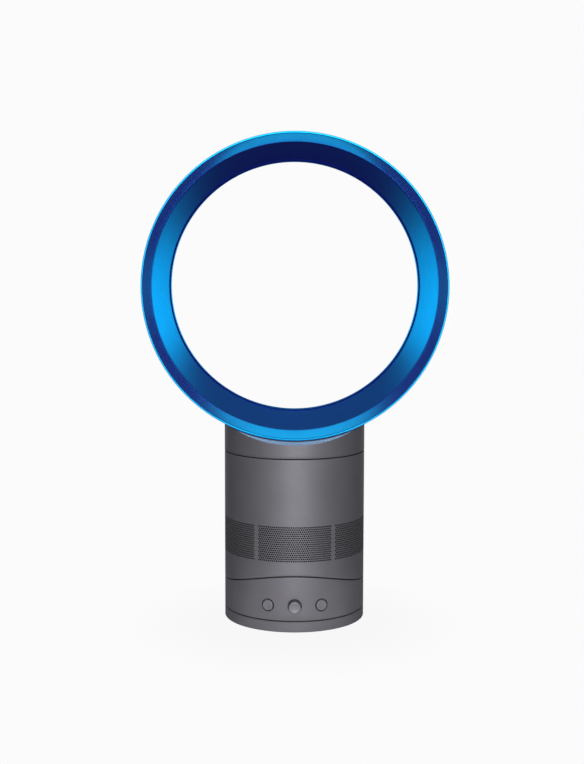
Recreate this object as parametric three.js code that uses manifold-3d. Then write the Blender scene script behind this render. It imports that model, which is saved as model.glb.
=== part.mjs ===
// A bladeless desk fan: a foot that stands on the table, a control section that swings on it, a body that
// tilts on that and draws air in through perforated screens, and an air ring that locks onto the body.
// Millimetres, +Z up, controls towards -Y, origin at the centre of the foot's underside.

import * as THREE from "three";
import { mergeGeometries, mergeVertices, toCreasedNormals } from "three/addons/utils/BufferGeometryUtils.js";
import Module from "manifold-3d";

const wasm = await Module();
wasm.setup();

// ---------------------------------------------------------------- driving dimensions

// Clearances
const seamGap = 0.9; // the dark line between two casings
const seat = 0.3; // between a piece and what carries it
const running = 0.5; // round a piece that moves
const bladeTip = 0.8; // round the impeller

// Casings
const bodyRadius = 72; // foot, control section, body and collar are one cylinder
const casingWall = 2.2;
const footRound = 1.5; // of the foot's lower edge
const ledge = 1.5; // of the shelf inside the body that carries the blower

// Foot
const padHeight = 2;
const padProud = 0.8;
const padWidth = 12;
const padInset = 5;
const footFloor = 2.5;
const bearingRise = 4;
const bearingThickness = 1.4;
const bearingInset = 14; // from the casing to the bearing's rim
const bearingWidth = 8;
const postRadius = 9;
const spigotRadius = 5.8;
const glandRadius = 2.9;
const glandBore = 2.1;
const glandFlange = 1.5;
const glandStep = 0.6;
const glandProud = 5;

// Swing drive
const turntableThickness = 2.4;
const hubWall = 6;
const hubRise = 1.5;
const washerThickness = 1;
const pinionDistance = 28; // from the foot's axis to the pinion's
const gearTeeth = 44;
const pinionTeeth = 12;
const gearModule = (2 * pinionDistance) / (gearTeeth + pinionTeeth);
const toothRoot = 1.25; // below the pitch circle, in modules
const gearThickness = 5;
const gearBacklash = 0.16;
const pinionInset = 0.2; // from the gear's faces to the pinion's
const pressureAngle = 25;
const toothedHalfAngle = 66;
const driveShaftRadius = 1.5;
const driveShaftLength = 2; // inside the swing motor
const bracketThickness = 1.5;
const bracketReach = 5; // past the swing motor on each side
const bracketBack = 6; // from the shaft to the bracket's edges
const bracketFront = 8;
const swingMotorRadius = 14;
const swingMotorHeight = 14.5;
const motorPlug = { half: 5, reach: 3 };
const headroom = 1.8; // between the swing motor and the deck above it

// Controls
const controlHeight = 15; // from the control section's lower edge to the middle of the buttons
const controlSpread = 21.7; // degrees between neighbouring controls
const controlHole = 7.05;
const buttonRadius = 6.2;
const buttonProud = 1.2;
const buttonTravel = 0.8;
const dialRadius = 6.2;
const dialProud = 7;
const dialShaft = 3;
const dialShaftLength = 4; // inside the encoder
const buttonBevel = 0.8;
const dialBevel = 1.2;
const stemRadius = 2;
const controlFlange = 1.3; // how far a control's rim reaches past its hole
const rimThickness = 1.4;
const stemLength = 2.5;
const switchSize = 6;
const switchHeight = 4;
const plungerRadius = 1.6;
const plungerLength = 1;
const plungerClear = 0.1;
const encoderSize = 13;
const encoderHeight = 6;
const boardThickness = 1.6;
const boardHeight = 20;
const boardEnd = 9; // how far the outer facets run past their buttons
const bracketHalf = 8; // of the control board's bracket
const bracketShelf = 9;
const mainBoardWidth = 30;
const mainBoardLength = 40;
const mainBoardLift = 13;
const boardPostRadius = 2.5;
const postInset = 4; // of the main board's posts
const capacitor = { radius: 5, height: 9, x: -6, y: 9 }; // places are from the middle of the main board
const chip = { width: 10, depth: 8, height: 1.5, y: -2 };
const socket = { width: 16, depth: 6, height: 6, y: -14 };

// Tilt
const tiltRadius = 173; // of the curved seam
const deckThickness = 2.3;
const tiltLimit = 10;
const railSpread = 28; // from the middle to each rail
const railWeb = 3.2;
const railFlange = 9;
const railFlangeThickness = 2.2;
const slotEdge = 7; // between the end of a rail's slot and the body's wall
const glideThickness = 1;
const slotMargin = 0.8; // degrees past the rail at full tilt
const cableSlotWidth = 12;
const cableSlotHalfAngle = 1.5;

// Body
const floorLegs = { radius: 3.5, x: 44, y: 26 };
const partitionRise = 20; // of the partition above the middle of the curved floor
const partitionThickness = 2;
const foamThickness = 3.7;
const windowSill = 0.6; // between the foam and the windows
const windowHeight = 36.2;
const frontWindow = 64; // degrees from pillar to pillar, front and back
const pillarWidth = 4.4;
const screenThickness = 1.4;
const holePitch = 15.05; // seven of the real hole pitches
const holeRadius = 5.4;
const rowStep = 14.45;
const holeSides = 4;
const screenMargin = 1; // between the holes and the screen's edge

// Blower
const supportThickness = 3;
const supportClear = 2; // between the windows and the ledge
const mountHeight = 2.4;
const mountWidth = 5;
const mountInset = 1;
const housingMargin = 13; // air gap between blower housing and body
const housingWall = 2;
const housingFlange = 2;
const flangeMargin = 7.5; // between the flange's rim and the body
const inletRadius = 36;
const inletDrop = 12; // of the inlet below the flange
const coneRise = 13; // of the cone above the flange
const drumHeight = 33.8;
const bellLip = 10;
const passage = 12; // width of the air passage round the motor
const bucketHeight = 17;
const domeHeight = 14;
const domeRadius = 10;
const hubInletRadius = 14;
const hubWallThickness = 3;
const hubFloor = 5;
const hubRim = 1;
const bladeCount = 9;
const bladeThickness = 1.6;
const bladeLean = 38; // degrees from upright
const vaneCount = 11;
const vaneHeight = 14;
const vaneThickness = 1.4;
const vaneLean = -30;
const vaneBand = 1.2; // wall of the band that carries the vanes
const vaneRoot = 0.7; // of the band, left bare above and below the vanes
const sealThickness = 3;
const sealRise = 6; // above the cone
const ledgeWidth = 9; // of the support ring, inside the flange's rim
const shaftRadius = 2.5;
const pressFit = 0.1;
const bearingOuter = 7;
const bearingHeight = 4;
const statorOuter = 26;
const statorInner = 15.5;
const statorHeight = 16;
const statorClear = 1; // above the lower bearing
const rotorHeight = 14;

// Twist lock and collar
const stepDepth = 0.7; // of the step that the retainer stands on
const retainerWall = 5.4;
const retainerHeight = 8.6;
const armHeight = 2;
const armWidth = 8;
const armCount = 3;
const armReach = 8; // over the motor bucket
const bayonetWall = 3;
const lugHeight = 2;
const lugReach = 2;
const lugLift = 0.5; // above the lower end of the bayonet ring
const lugAngle = 16;
const lugCount = 3;
const trackClear = 1; // degrees, past a lug at each end of its track
const twistAngle = 18;
const collarFlange = 2.3;
const collarRise = 13; // of the collar's front edge above its lower edge
const saddleGap = 1.2; // between the collar and the air ring
const saddleThickness = 2.3;
const ductWidth = 78;
const ductDepth = 52;
const ductCorner = 24;
const ductWall = 2;

// Air ring
const ringRadius = 152.5;
const ringDepth = 88;
const tipWidth = 1.7; // the flat front edge, which is the outer shell's wall
const bevelWidth = 8;
const innerWall = 2;
const guideDepth = 30; // of the surface that runs straight back
const channelDepth = 24.1; // from the outside to the throat
const rearDepth = 14; // of the rounded back
const slotWidth = 1.3;
const lipLength = 5;
const lipBevel = 0.3;
const coandaRadius = 3.2;
const coandaEnd = 20; // degrees, where the rounded edge stops
const coandaStep = 0.5; // from the lip's end to the middle of the rounded edge
const guideTaper = 0.6;
const ringTaper = 0.9;
const spacerCount = 12;
const spacerThickness = 2.5;
const spacerDepth = 16;
const spacerInset = 4;
const spacerClear = 0.55;

// Fasteners
const screwRadius = 1.2;
const screwHead = 2.4;
const screwHeadHeight = 1.4;
const screwLength = 4;
const screwEdge = 1; // between a screw's head and the rim of what it holds
const gearScrewHead = 2; // how much more than the spigot the gear's screw covers, across and up

// Facets
const casingSides = 40;
const ringSides = 56;
const blowerSides = 24;
const smallSides = 12;
const screwSides = 8;
const controlSides = 18;
const spigotSides = 6;
const motorSides = 32;
const shaftSides = 16;
const screenStep = 10; // degrees
const tiltStep = 5; // degrees

// Working allowances, which leave no mark on the finished pieces
const sunk = 0.5; // how far joined pieces run into each other
const past = 1; // how far a cutter runs past what it cuts
const nearAxis = 1; // inner radius of a block that is bounded only by its outer one

// ---------------------------------------------------------------- shapes

const { degToRad } = THREE.MathUtils;

// A closed solid from a three.js geometry, with its shared vertices merged.
function solid(geometry) {
  const bare = new THREE.BufferGeometry();
  const loose = geometry.index ? geometry.toNonIndexed() : geometry;
  bare.setAttribute("position", loose.getAttribute("position"));
  const merged = mergeVertices(bare, 1e-4);
  const corners = merged.index.array;
  const triVerts = [];
  for (let i = 0; i < corners.length; i += 3) {
    const [a, b, c] = corners.slice(i, i + 3);
    if (a !== b && b !== c && c !== a) triVerts.push(a, b, c);
  }
  const vertProperties = merged.attributes.position.array;
  const made = new wasm.Mesh({ numProp: 3, vertProperties, triVerts: Uint32Array.from(triVerts) });
  return new wasm.Manifold(made);
}

// A three.js geometry from a solid, smooth where it is round.
function geometryOf(made) {
  const { vertProperties, triVerts } = made.getMesh();
  const geometry = new THREE.BufferGeometry();
  geometry.setAttribute("position", new THREE.BufferAttribute(Float32Array.from(vertProperties), 3));
  geometry.setIndex(new THREE.BufferAttribute(Uint32Array.from(triVerts), 1));
  return toCreasedNormals(geometry, degToRad(25));
}

const join = (first, ...others) => others.reduce((sum, other) => sum.add(other), first);
const cut = (first, ...others) => others.reduce((rest, other) => rest.subtract(other), first);

// A profile of [radius, height] points turned about Z. It starts and ends on the axis, or closes on itself.
function turned(profile, sides = casingSides) {
  let doubleArea = 0;
  profile.forEach(([r, h], i) => {
    const [nextR, nextH] = profile[(i + 1) % profile.length];
    doubleArea += r * nextH - nextR * h;
  });
  const loop = doubleArea > 0 ? [...profile] : [...profile].reverse();
  if (profile[0][0] > 0) loop.push(loop[0]);
  const points = loop.map(([r, h]) => new THREE.Vector2(r, h));
  return solid(new THREE.LatheGeometry(points, sides).rotateX(Math.PI / 2));
}

const tube = (outer, inner, bottom, top, sides) =>
  turned([[inner, bottom], [outer, bottom], [outer, top], [inner, top]], sides);

const rod = (radius, bottom, top, sides = smallSides) =>
  turned([[0, bottom], [radius, bottom], [radius, top], [0, top]], sides);

function block(x, y, z) {
  const geometry = new THREE.BoxGeometry(x[1] - x[0], y[1] - y[0], z[1] - z[0]);
  return solid(geometry.translate((x[0] + x[1]) / 2, (y[0] + y[1]) / 2, (z[0] + z[1]) / 2));
}

// An outline in the XY plane, raised from bottom to top.
function raised(shape, bottom, top, curveSegments = 12) {
  const options = { depth: top - bottom, bevelEnabled: false, curveSegments };
  return solid(new THREE.ExtrudeGeometry(shape, options).translate(0, 0, bottom));
}

// A block of a ring, between two angles in degrees that are counted from the front towards +X.
function arcBlock(inner, outer, from, to, bottom, top, step = 6) {
  const start = degToRad(from - 90);
  const end = degToRad(to - 90);
  const shape = new THREE.Shape();
  shape.absarc(0, 0, outer, start, end, false);
  shape.absarc(0, 0, inner, end, start, true);
  return raised(shape, bottom, top, Math.max(2, Math.ceil((to - from) / step)));
}

// The same about the tilt axis, which lies along X: a curved plate between two radii.
function tiltPlate(inner, outer, halfAngle, x) {
  const middle = -Math.PI / 2;
  const half = degToRad(halfAngle);
  const shape = new THREE.Shape();
  shape.absarc(0, tiltHeight, outer, middle - half, middle + half, false);
  shape.absarc(0, tiltHeight, inner, middle + half, middle - half, true);
  const options = {
    depth: x[1] - x[0],
    bevelEnabled: false,
    curveSegments: Math.ceil((2 * halfAngle) / tiltStep),
  };
  const geometry = new THREE.ExtrudeGeometry(shape, options).translate(0, 0, x[0]);
  const acrossX = new THREE.Matrix4().makeBasis(
    new THREE.Vector3(0, 1, 0),
    new THREE.Vector3(0, 0, 1),
    new THREE.Vector3(1, 0, 0),
  );
  return solid(geometry.applyMatrix4(acrossX));
}

// Turns a solid whose axis is Z to face outward from the body's axis, at an angle from the front.
const facing = (made, angle, height) =>
  made.rotate([90, 0, 0]).rotate([0, 0, angle]).translate([0, 0, height]);

// The same hole or shank at each side's place, or at one angle round the axis.
const aside = (made, x) => made.translate([x, 0, 0]);
const swungOut = (made, radius, angle) => made.translate([radius, 0, 0]).rotate([0, 0, angle]);

// Turns a solid whose axis is Z to lie along the air ring's axis, with +Z to the back.
const alongRing = (made) => made.rotate([-90, 0, 0]).translate([0, 0, ringHeight]);

const aroundAxis = (count, make) => Array.from({ length: count }, (_, k) => make((360 / count) * k, k));

// An arc of [radius, height] points about a centre, between two angles in degrees.
function arc([r, h], [radiusR, radiusH], from, to, steps) {
  return Array.from({ length: steps + 1 }, (_, i) => {
    const angle = degToRad(from + ((to - from) * i) / steps);
    return [r + radiusR * Math.cos(angle), h + radiusH * Math.sin(angle)];
  });
}

// ---------------------------------------------------------------- heights and radii worked out

const casingInner = bodyRadius - casingWall;
const bearingRadius = bodyRadius - bearingInset;
const throatRadius = ringRadius - channelDepth;

const footFloorTop = padProud + footFloor;
const bearingSeat = footFloorTop + bearingRise;
const turntableBottom = bearingSeat + bearingThickness + 2 * seat;
const turntableTop = turntableBottom + turntableThickness;
const controlBottom = turntableTop + seat;
const footTop = controlBottom - seamGap;
const glandHeight = (footTop + footFloorTop) / 2;
const turntableRadius = casingInner - seat - glandFlange - running;
const hubTop = turntableTop + hubRise;
const gearBottom = hubTop + washerThickness + 2 * seat;
const gearTop = gearBottom + gearThickness;
const shoulder = gearBottom - seat;
const bracketBottom = gearTop + running;
const bracketTop = bracketBottom + bracketThickness;
const swingMotorTop = bracketTop + seat + swingMotorHeight;

const deckOuter = tiltRadius + seamGap / 2;
const deckInner = deckOuter + deckThickness;
const tiltHeight = swingMotorTop + headroom + deckInner;
const floorOuter = tiltRadius - seamGap / 2;
const floorInner = floorOuter - deckThickness;
const railTop = floorInner - glideThickness - 2 * seat;
const buttonHeight = controlBottom + controlHeight;
const sweepAngle = 35; // the curved seam's own half width, past the casing on both sides
const acrossBody = [-bodyRadius - past, bodyRadius + past];
const slotSide = railSpread + railWeb / 2 + running;
const slotEnd = Math.sqrt((casingInner - seat) ** 2 - slotSide ** 2) - slotEdge;
const slotHalfAngle = THREE.MathUtils.radToDeg(Math.asin(slotEnd / floorInner));
const railHalfAngle = slotHalfAngle - tiltLimit - slotMargin;

const partitionBottom = tiltHeight - floorInner + partitionRise;
const partitionTop = partitionBottom + partitionThickness;
const windowBottom = partitionTop + seat + foamThickness + windowSill;
const windowTop = windowBottom + windowHeight;
const ledgeTop = windowTop + supportClear;
const supportTop = ledgeTop + seat + supportThickness;
const flangeBottom = supportTop + mountHeight + 2 * seat;
const flangeTop = flangeBottom + housingFlange;
const housingOuter = casingInner - housingMargin;
const housingInner = housingOuter - housingWall;
const housingBottom = flangeBottom - inletDrop;
const coneTop = flangeTop + coneRise;
const housingTop = coneTop + drumHeight;
const flangeRadius = casingInner - flangeMargin;
const bucketOuter = housingInner - passage;
const bucketInner = bucketOuter - housingWall;
const impellerTop = coneTop - bladeTip;
const bucketBottom = impellerTop + bladeTip;
const bucketJoin = bucketBottom + bucketHeight;
const bucketTop = bucketJoin + seat + domeHeight;
const retainerBottom = Math.max(housingTop, bucketTop) + running;
const bodyTop = retainerBottom + retainerHeight;
const collarBottom = bodyTop + seamGap;

const saddleRadius = ringRadius + saddleGap;
const ringHeight = collarBottom + collarRise + saddleRadius;
const retainerOuter = casingInner + stepDepth - seat;
const retainerInner = retainerOuter - retainerWall;
const bayonetOuter = retainerInner - running;
const bayonetInner = bayonetOuter - bayonetWall;
const bayonetBottom = retainerBottom + armHeight + running;
const lugBottom = bayonetBottom + lugLift;
const ductBottom = collarBottom + seat + collarFlange + seat;

// ---------------------------------------------------------------- foot

function footShell() {
  const padOuter = bodyRadius - padInset;
  const grooveTop = padHeight + seat;
  const roundEdge = arc([bodyRadius - footRound, padProud + footRound], [footRound, footRound], -90, 0, 2);
  const dish = turned([
    [0, padProud],
    [padOuter - padWidth - seat, padProud],
    [padOuter - padWidth - seat, grooveTop],
    [padOuter + seat, grooveTop],
    [padOuter + seat, padProud],
    ...roundEdge,
    [bodyRadius, footTop],
    [casingInner, footTop],
    [casingInner, footFloorTop],
    [bearingRadius, footFloorTop],
    [bearingRadius, bearingSeat],
    [bearingRadius - bearingWidth, bearingSeat],
    [bearingRadius - bearingWidth, footFloorTop],
    [postRadius, footFloorTop],
    [postRadius, shoulder],
    [0, shoulder],
  ]);
  const spigot = rod(spigotRadius, shoulder - sunk, gearTop - seat, spigotSides);
  const screwHole = rod(screwRadius + seat, shoulder - screwLength, gearTop + past, screwSides);
  const glandHole = facing(rod(glandRadius + seat, casingInner - past, bodyRadius + past), 180, glandHeight);
  return cut(join(dish, spigot), screwHole, glandHole);
}

function footPad() {
  const outer = bodyRadius - padInset;
  return tube(outer, outer - padWidth, 0, padHeight);
}

function thrustBearing() {
  const bottom = bearingSeat + seat;
  return tube(bearingRadius, bearingRadius - bearingWidth, bottom, bottom + bearingThickness);
}

// A grommet in the back of the foot, with a flange inside and a stub outside for the mains lead.
function cableGland() {
  const flange = glandRadius + glandStep;
  const inner = casingInner - seat;
  const profile = [
    [glandBore, inner - glandFlange],
    [flange, inner - glandFlange],
    [flange, inner - glandStep],
    [glandRadius, inner - glandStep],
    [glandRadius, bodyRadius + seat],
    [glandRadius + glandStep, bodyRadius + seat],
    [glandRadius, bodyRadius + glandProud],
    [glandBore, bodyRadius + glandProud],
  ];
  return facing(turned(profile, smallSides), 180, glandHeight);
}

// ---------------------------------------------------------------- swing drive

// Half the angle that an involute tooth takes up at a radius.
function toothHalfAngle(teeth, radius) {
  const pitch = (gearModule * teeth) / 2;
  const pressure = degToRad(pressureAngle);
  const base = pitch * Math.cos(pressure);
  const involute = (angle) => Math.tan(angle) - angle;
  const here = Math.acos(Math.min(1, base / Math.max(radius, base)));
  return Math.PI / (2 * teeth) - gearBacklash / (2 * pitch) + involute(pressure) - involute(here);
}

// A gear's outline, with a tooth centred on +Y, or a gap there. Past halfAngle it is plain, at the root.
function gearOutline(teeth, gapAtTop, halfAngle) {
  const pitch = (gearModule * teeth) / 2;
  const root = pitch - toothRoot * gearModule;
  const flank = [root, pitch, pitch + gearModule];
  const points = [];
  for (let k = 0; k < teeth; k += 1) {
    const middle = ((k + (gapAtTop ? 0.5 : 0)) * 2 * Math.PI) / teeth;
    const away = Math.abs(Math.atan2(Math.sin(middle), Math.cos(middle)));
    if (away > degToRad(halfAngle)) {
      points.push([root, middle]);
      continue;
    }
    flank.forEach((radius) => points.push([radius, middle - toothHalfAngle(teeth, radius)]));
    [...flank].reverse().forEach((radius) => points.push([radius, middle + toothHalfAngle(teeth, radius)]));
  }
  return new THREE.Shape(points.map(([r, a]) => new THREE.Vector2(-r * Math.sin(a), r * Math.cos(a))));
}

// A toothed sector keyed to the foot's post. It doesn't turn: the pinion walks round it.
function fixedGear() {
  const gear = raised(gearOutline(gearTeeth, false, toothedHalfAngle), gearBottom, gearTop);
  return cut(gear, rod(spigotRadius + seat, gearBottom - past, gearTop + past, spigotSides));
}

// Turns on its own shaft, which hangs from the swing motor.
function drivePinion() {
  const outline = gearOutline(pinionTeeth, true, 180);
  const pinion = raised(outline, gearBottom + pinionInset, gearTop - pinionInset).rotate([0, 0, 180]);
  const shaft = rod(driveShaftRadius, gearTop - sunk, bracketTop + seat + driveShaftLength, screwSides);
  return join(pinion, shaft).translate([0, pinionDistance, 0]);
}

function gearScrew() {
  const head = rod(spigotRadius + gearScrewHead, gearTop + seat, gearTop + gearScrewHead + seat);
  const shank = rod(screwRadius, shoulder - screwLength + seat, gearTop + seat + sunk, screwSides);
  return join(head, shank);
}

const turntableScrewRadius = turntableRadius - screwHead - screwEdge;

const screwSpots = [30, 150, 270]; // degrees from +X

function turntable() {
  const bore = postRadius + running;
  const plate = turned([
    [bore, turntableBottom],
    [turntableRadius, turntableBottom],
    [turntableRadius, turntableTop],
    [bore + hubWall, turntableTop],
    [bore + hubWall, hubTop],
    [bore, hubTop],
  ]);
  const hole = rod(screwRadius + seat, turntableBottom - past, turntableTop + past, screwSides);
  const holes = screwSpots.map((angle) => swungOut(hole, turntableScrewRadius, angle));
  const post = rod(boardPostRadius, turntableTop - sunk, mainBoardBottom - seat, screwSides);
  const postPlace = mainBoardLength / 2 - postInset;
  const posts = [-1, 1].map((end) => post.translate([mainBoardMiddle, end * postPlace, 0]));
  return cut(join(plate, ...posts), ...holes);
}

// Holds the control housing's flange to the turntable, driven from below.
function turntableScrew(angle) {
  const under = turntableBottom - seat;
  const head = rod(screwHead, under - screwHeadHeight, under, screwSides);
  const shank = rod(screwRadius, under - sunk, controlBottom + casingWall - seat, screwSides);
  return swungOut(join(head, shank), turntableScrewRadius, angle);
}

function hubWasher() {
  const bore = postRadius + running;
  return tube(bore + hubWall, bore, hubTop + seat, hubTop + seat + washerThickness, blowerSides);
}

// A small table over the gear that carries the swing motor.
function motorBracket() {
  const outside = swingMotorRadius + bracketReach;
  const depth = [pinionDistance - bracketBack, pinionDistance + bracketFront];
  const top = block([-outside, outside], depth, [bracketBottom, bracketTop]);
  const legHeights = [turntableTop + seat, bracketBottom + sunk];
  const leg = block([outside - bracketThickness, outside], depth, legHeights);
  const shaftHole = rod(driveShaftRadius + 2 * running, bracketBottom - past, bracketTop + past, screwSides);
  return cut(join(top, leg, leg.mirror([1, 0, 0])), shaftHole.translate([0, pinionDistance, 0]));
}

function swingMotor() {
  const bottom = bracketTop + seat;
  const { half, reach } = motorPlug;
  const can = rod(swingMotorRadius, bottom, swingMotorTop, motorSides);
  const hole = rod(driveShaftRadius + seat, bottom - past, bottom + driveShaftLength + seat, screwSides);
  const plug = block([-half, half], [0, swingMotorRadius + reach], [bottom, bottom + half]);
  return cut(join(can, plug), hole).translate([0, pinionDistance, 0]);
}

// ---------------------------------------------------------------- control section

// All that lies above the curved seam, down to a radius about the tilt axis.
const aboveSeam = (radius) => tiltPlate(radius / 2, radius, 2 * sweepAngle, acrossBody);

const cableSlotSides = [-cableSlotWidth / 2, cableSlotWidth / 2];

function controlHousing() {
  const flangeInner = turntableScrewRadius - screwHead - screwEdge;
  const wallTop = tiltHeight - tiltRadius + bodyRadius / 2;
  const wall = turned([
    [flangeInner, controlBottom],
    [bodyRadius, controlBottom],
    [bodyRadius, wallTop],
    [casingInner, wallTop],
    [casingInner, controlBottom + casingWall],
    [flangeInner, controlBottom + casingWall],
  ]);
  const inside = rod(casingInner + casingWall / 2, controlBottom, wallTop, casingSides);
  const deck = tiltPlate(deckOuter, deckInner, sweepAngle, acrossBody).intersect(inside);
  const hole = rod(controlHole, casingInner - controlHole / 2, bodyRadius + controlHole / 2, controlSides);
  const holes = [-controlSpread, 0, controlSpread].map((angle) => facing(hole, angle, buttonHeight));
  const cableSlot = tiltPlate(deckOuter - past, deckInner + past, cableSlotHalfAngle, cableSlotSides);
  const flangeRoom = [controlBottom - past, controlBottom + casingWall + past];
  const flangeHole = rod(screwRadius + seat, ...flangeRoom, screwSides);
  const flangeHoles = screwSpots.map((angle) => swungOut(flangeHole, turntableScrewRadius, angle));
  const deckHeight = tiltHeight - deckInner;
  const railHole = rod(screwRadius + seat, deckHeight - past, deckHeight + deckThickness + past, screwSides);
  const railHoles = [-1, 1].map((side) => aside(railHole, side * railSpread));
  const housing = wall.subtract(aboveSeam(deckOuter)).add(deck);
  return cut(housing, cableSlot, ...holes, ...flangeHoles, ...railHoles);
}

// Holds a rail down on the deck, driven from below.
function railScrew(side) {
  const seatHeight = tiltHeight - deckInner - seat;
  const head = rod(screwHead, seatHeight - screwHeadHeight, seatHeight, screwSides);
  const shank = rod(screwRadius, seatHeight - sunk, tiltHeight - deckOuter + screwLength, screwSides);
  return aside(join(head, shank), side * railSpread);
}

// A T-shaped rail that stands on the deck and reaches through the body's floor, so that the body slides on
// the curved deck but can't lift off it.
function tiltRail(side) {
  const web = tiltPlate(railTop - sunk, deckOuter - seat, railHalfAngle, [-railWeb / 2, railWeb / 2]);
  const flangeSides = [-railFlange / 2, railFlange / 2];
  const flange = tiltPlate(railTop - railFlangeThickness, railTop, railHalfAngle, flangeSides);
  const bottom = tiltHeight - deckOuter;
  const screwHole = rod(screwRadius + seat, bottom - past, bottom + screwLength + seat, screwSides);
  return aside(cut(join(web, flange), screwHole), side * railSpread);
}

// A slippery strip under a rail's flange.
function glideStrip(side) {
  const near = railSpread + railWeb / 2 + seat;
  const far = railSpread + railFlange / 2;
  const x = [side * near, side * far].sort((a, b) => a - b);
  return tiltPlate(railTop + seat, floorInner - seat, railHalfAngle, x);
}

const rimRadius = controlHole + controlFlange;
const rimFront = Math.sqrt(casingInner ** 2 - rimRadius ** 2) - running;
const rimBack = rimFront - rimThickness;
const stemEnd = rimBack - stemLength;
const switchFront = stemEnd - buttonTravel - plungerClear;
const boardFront = switchFront - switchHeight - seat;

function pushButton(angle) {
  const face = bodyRadius + buttonProud;
  const profile = [
    [0, stemEnd],
    [stemRadius, stemEnd],
    [stemRadius, rimBack],
    [rimRadius, rimBack],
    [rimRadius, rimFront],
    [buttonRadius, rimFront],
    [buttonRadius, face - buttonBevel],
    [buttonRadius - buttonBevel, face],
    [0, face],
  ];
  return facing(turned(profile, controlSides), angle, buttonHeight);
}

function speedDial() {
  const face = bodyRadius + dialProud;
  const encoderFront = boardFront + seat + encoderHeight;
  const profile = [
    [0, encoderFront - dialShaftLength],
    [dialShaft, encoderFront - dialShaftLength],
    [dialShaft, rimBack],
    [rimRadius, rimBack],
    [rimRadius, rimFront],
    [dialRadius, rimFront],
    [dialRadius, face - dialBevel],
    [dialRadius - dialBevel, face],
    [0, face],
  ];
  return facing(turned(profile, controlSides), 0, buttonHeight);
}

function pushSwitch(angle) {
  const half = switchSize / 2;
  const back = boardFront + seat;
  const bodyFront = switchFront - plungerLength;
  const body = block([-half, half], [-half, half], [back, bodyFront]);
  const plunger = rod(plungerRadius, bodyFront - sunk, switchFront, screwSides);
  return facing(join(body, plunger), angle, buttonHeight);
}

function dialEncoder() {
  const half = encoderSize / 2;
  const back = boardFront + seat;
  const front = back + encoderHeight;
  const body = block([-half, half], [-half, half], [back, front]);
  const hole = rod(dialShaft + seat, front - dialShaftLength - seat, front + past);
  return facing(cut(body, hole), 0, buttonHeight);
}

// A board in three facets, each square to its own control.
function controlBoard() {
  const bend = boardFront / Math.cos(degToRad(controlSpread / 2));
  const back = (boardFront - boardThickness) / Math.cos(degToRad(controlSpread / 2));
  const end = degToRad(controlSpread);
  const tip = (distance) => [
    distance * Math.sin(end) + boardEnd * Math.cos(end),
    -distance * Math.cos(end) + boardEnd * Math.sin(end),
  ];
  const knee = (distance) => [
    distance * Math.sin(degToRad(controlSpread / 2)),
    -distance * Math.cos(degToRad(controlSpread / 2)),
  ];
  const right = [knee(bend), tip(boardFront), tip(boardFront - boardThickness), knee(back)];
  const left = [...right].reverse().map(([x, y]) => [-x, y]);
  const outline = [...right, ...left].map(([x, y]) => new THREE.Vector2(x, y));
  return raised(new THREE.Shape(outline), buttonHeight - boardHeight / 2, buttonHeight + boardHeight / 2);
}

// An angle that stands on the turntable and holds the control board.
function boardBracket() {
  const back = -(boardFront - boardThickness - seat);
  const base = turntableTop + seat;
  const x = [-bracketHalf, bracketHalf];
  const top = buttonHeight + boardHeight / 2 - boardThickness;
  const upright = block(x, [back, back + casingWall], [base, top]);
  const shelf = block(x, [back, back + bracketShelf], [base, base + casingWall]);
  return join(upright, shelf);
}

const mainBoardOuter = Math.sqrt((turntableRadius - casingWall) ** 2 - (mainBoardLength / 2) ** 2);
const mainBoardMiddle = -(mainBoardOuter - mainBoardWidth / 2);
const mainBoardBottom = turntableTop + mainBoardLift;

function mainBoard() {
  const top = mainBoardBottom + boardThickness;
  const x = [mainBoardMiddle - mainBoardWidth / 2, mainBoardMiddle + mainBoardWidth / 2];
  const y = [-mainBoardLength / 2, mainBoardLength / 2];
  const board = block(x, y, [mainBoardBottom, top]);
  const can = rod(capacitor.radius, top - sunk, top + capacitor.height);
  const boxes = [chip, socket].map(({ width, depth, height, y: place }) =>
    block([-width / 2, width / 2], [place - depth / 2, place + depth / 2], [top - sunk, top + height]),
  );
  const parts = [can.translate([capacitor.x, capacitor.y, 0]), ...boxes];
  return join(board, ...parts.map((made) => aside(made, mainBoardMiddle)));
}

// ---------------------------------------------------------------- body

const sideWindow = (360 - 2 * frontWindow) / 4;
const pillarAngle = THREE.MathUtils.radToDeg(pillarWidth / bodyRadius);

// The windows' names and the angles that they run between.
function windows() {
  const names = ["front", "front_right", "rear_right", "rear", "rear_left", "front_left"];
  const widths = [frontWindow, sideWindow, sideWindow, frontWindow, sideWindow, sideWindow];
  let edge = -frontWindow / 2;
  return names.map((name, i) => {
    const from = edge + pillarAngle / 2;
    edge += widths[i];
    return { name, from, to: edge - pillarAngle / 2 };
  });
}

function bodyShell() {
  const bottom = tiltHeight - tiltRadius - past;
  const wall = turned([
    [casingInner, bottom],
    [bodyRadius, bottom],
    [bodyRadius, bodyTop],
    [casingInner + stepDepth, bodyTop],
    [casingInner + stepDepth, retainerBottom - seat],
    [casingInner, retainerBottom - seat],
    [casingInner, ledgeTop],
    [casingInner - ledge, ledgeTop],
    [casingInner, ledgeTop - ledge],
  ]);
  const openings = windows().map(({ from, to }) =>
    arcBlock(casingInner - casingWall, bodyRadius + casingWall, from, to, windowBottom, windowTop),
  );
  return cut(wall.intersect(tiltPlate(nearAxis, floorOuter, 2 * sweepAngle, acrossBody)), ...openings);
}

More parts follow.
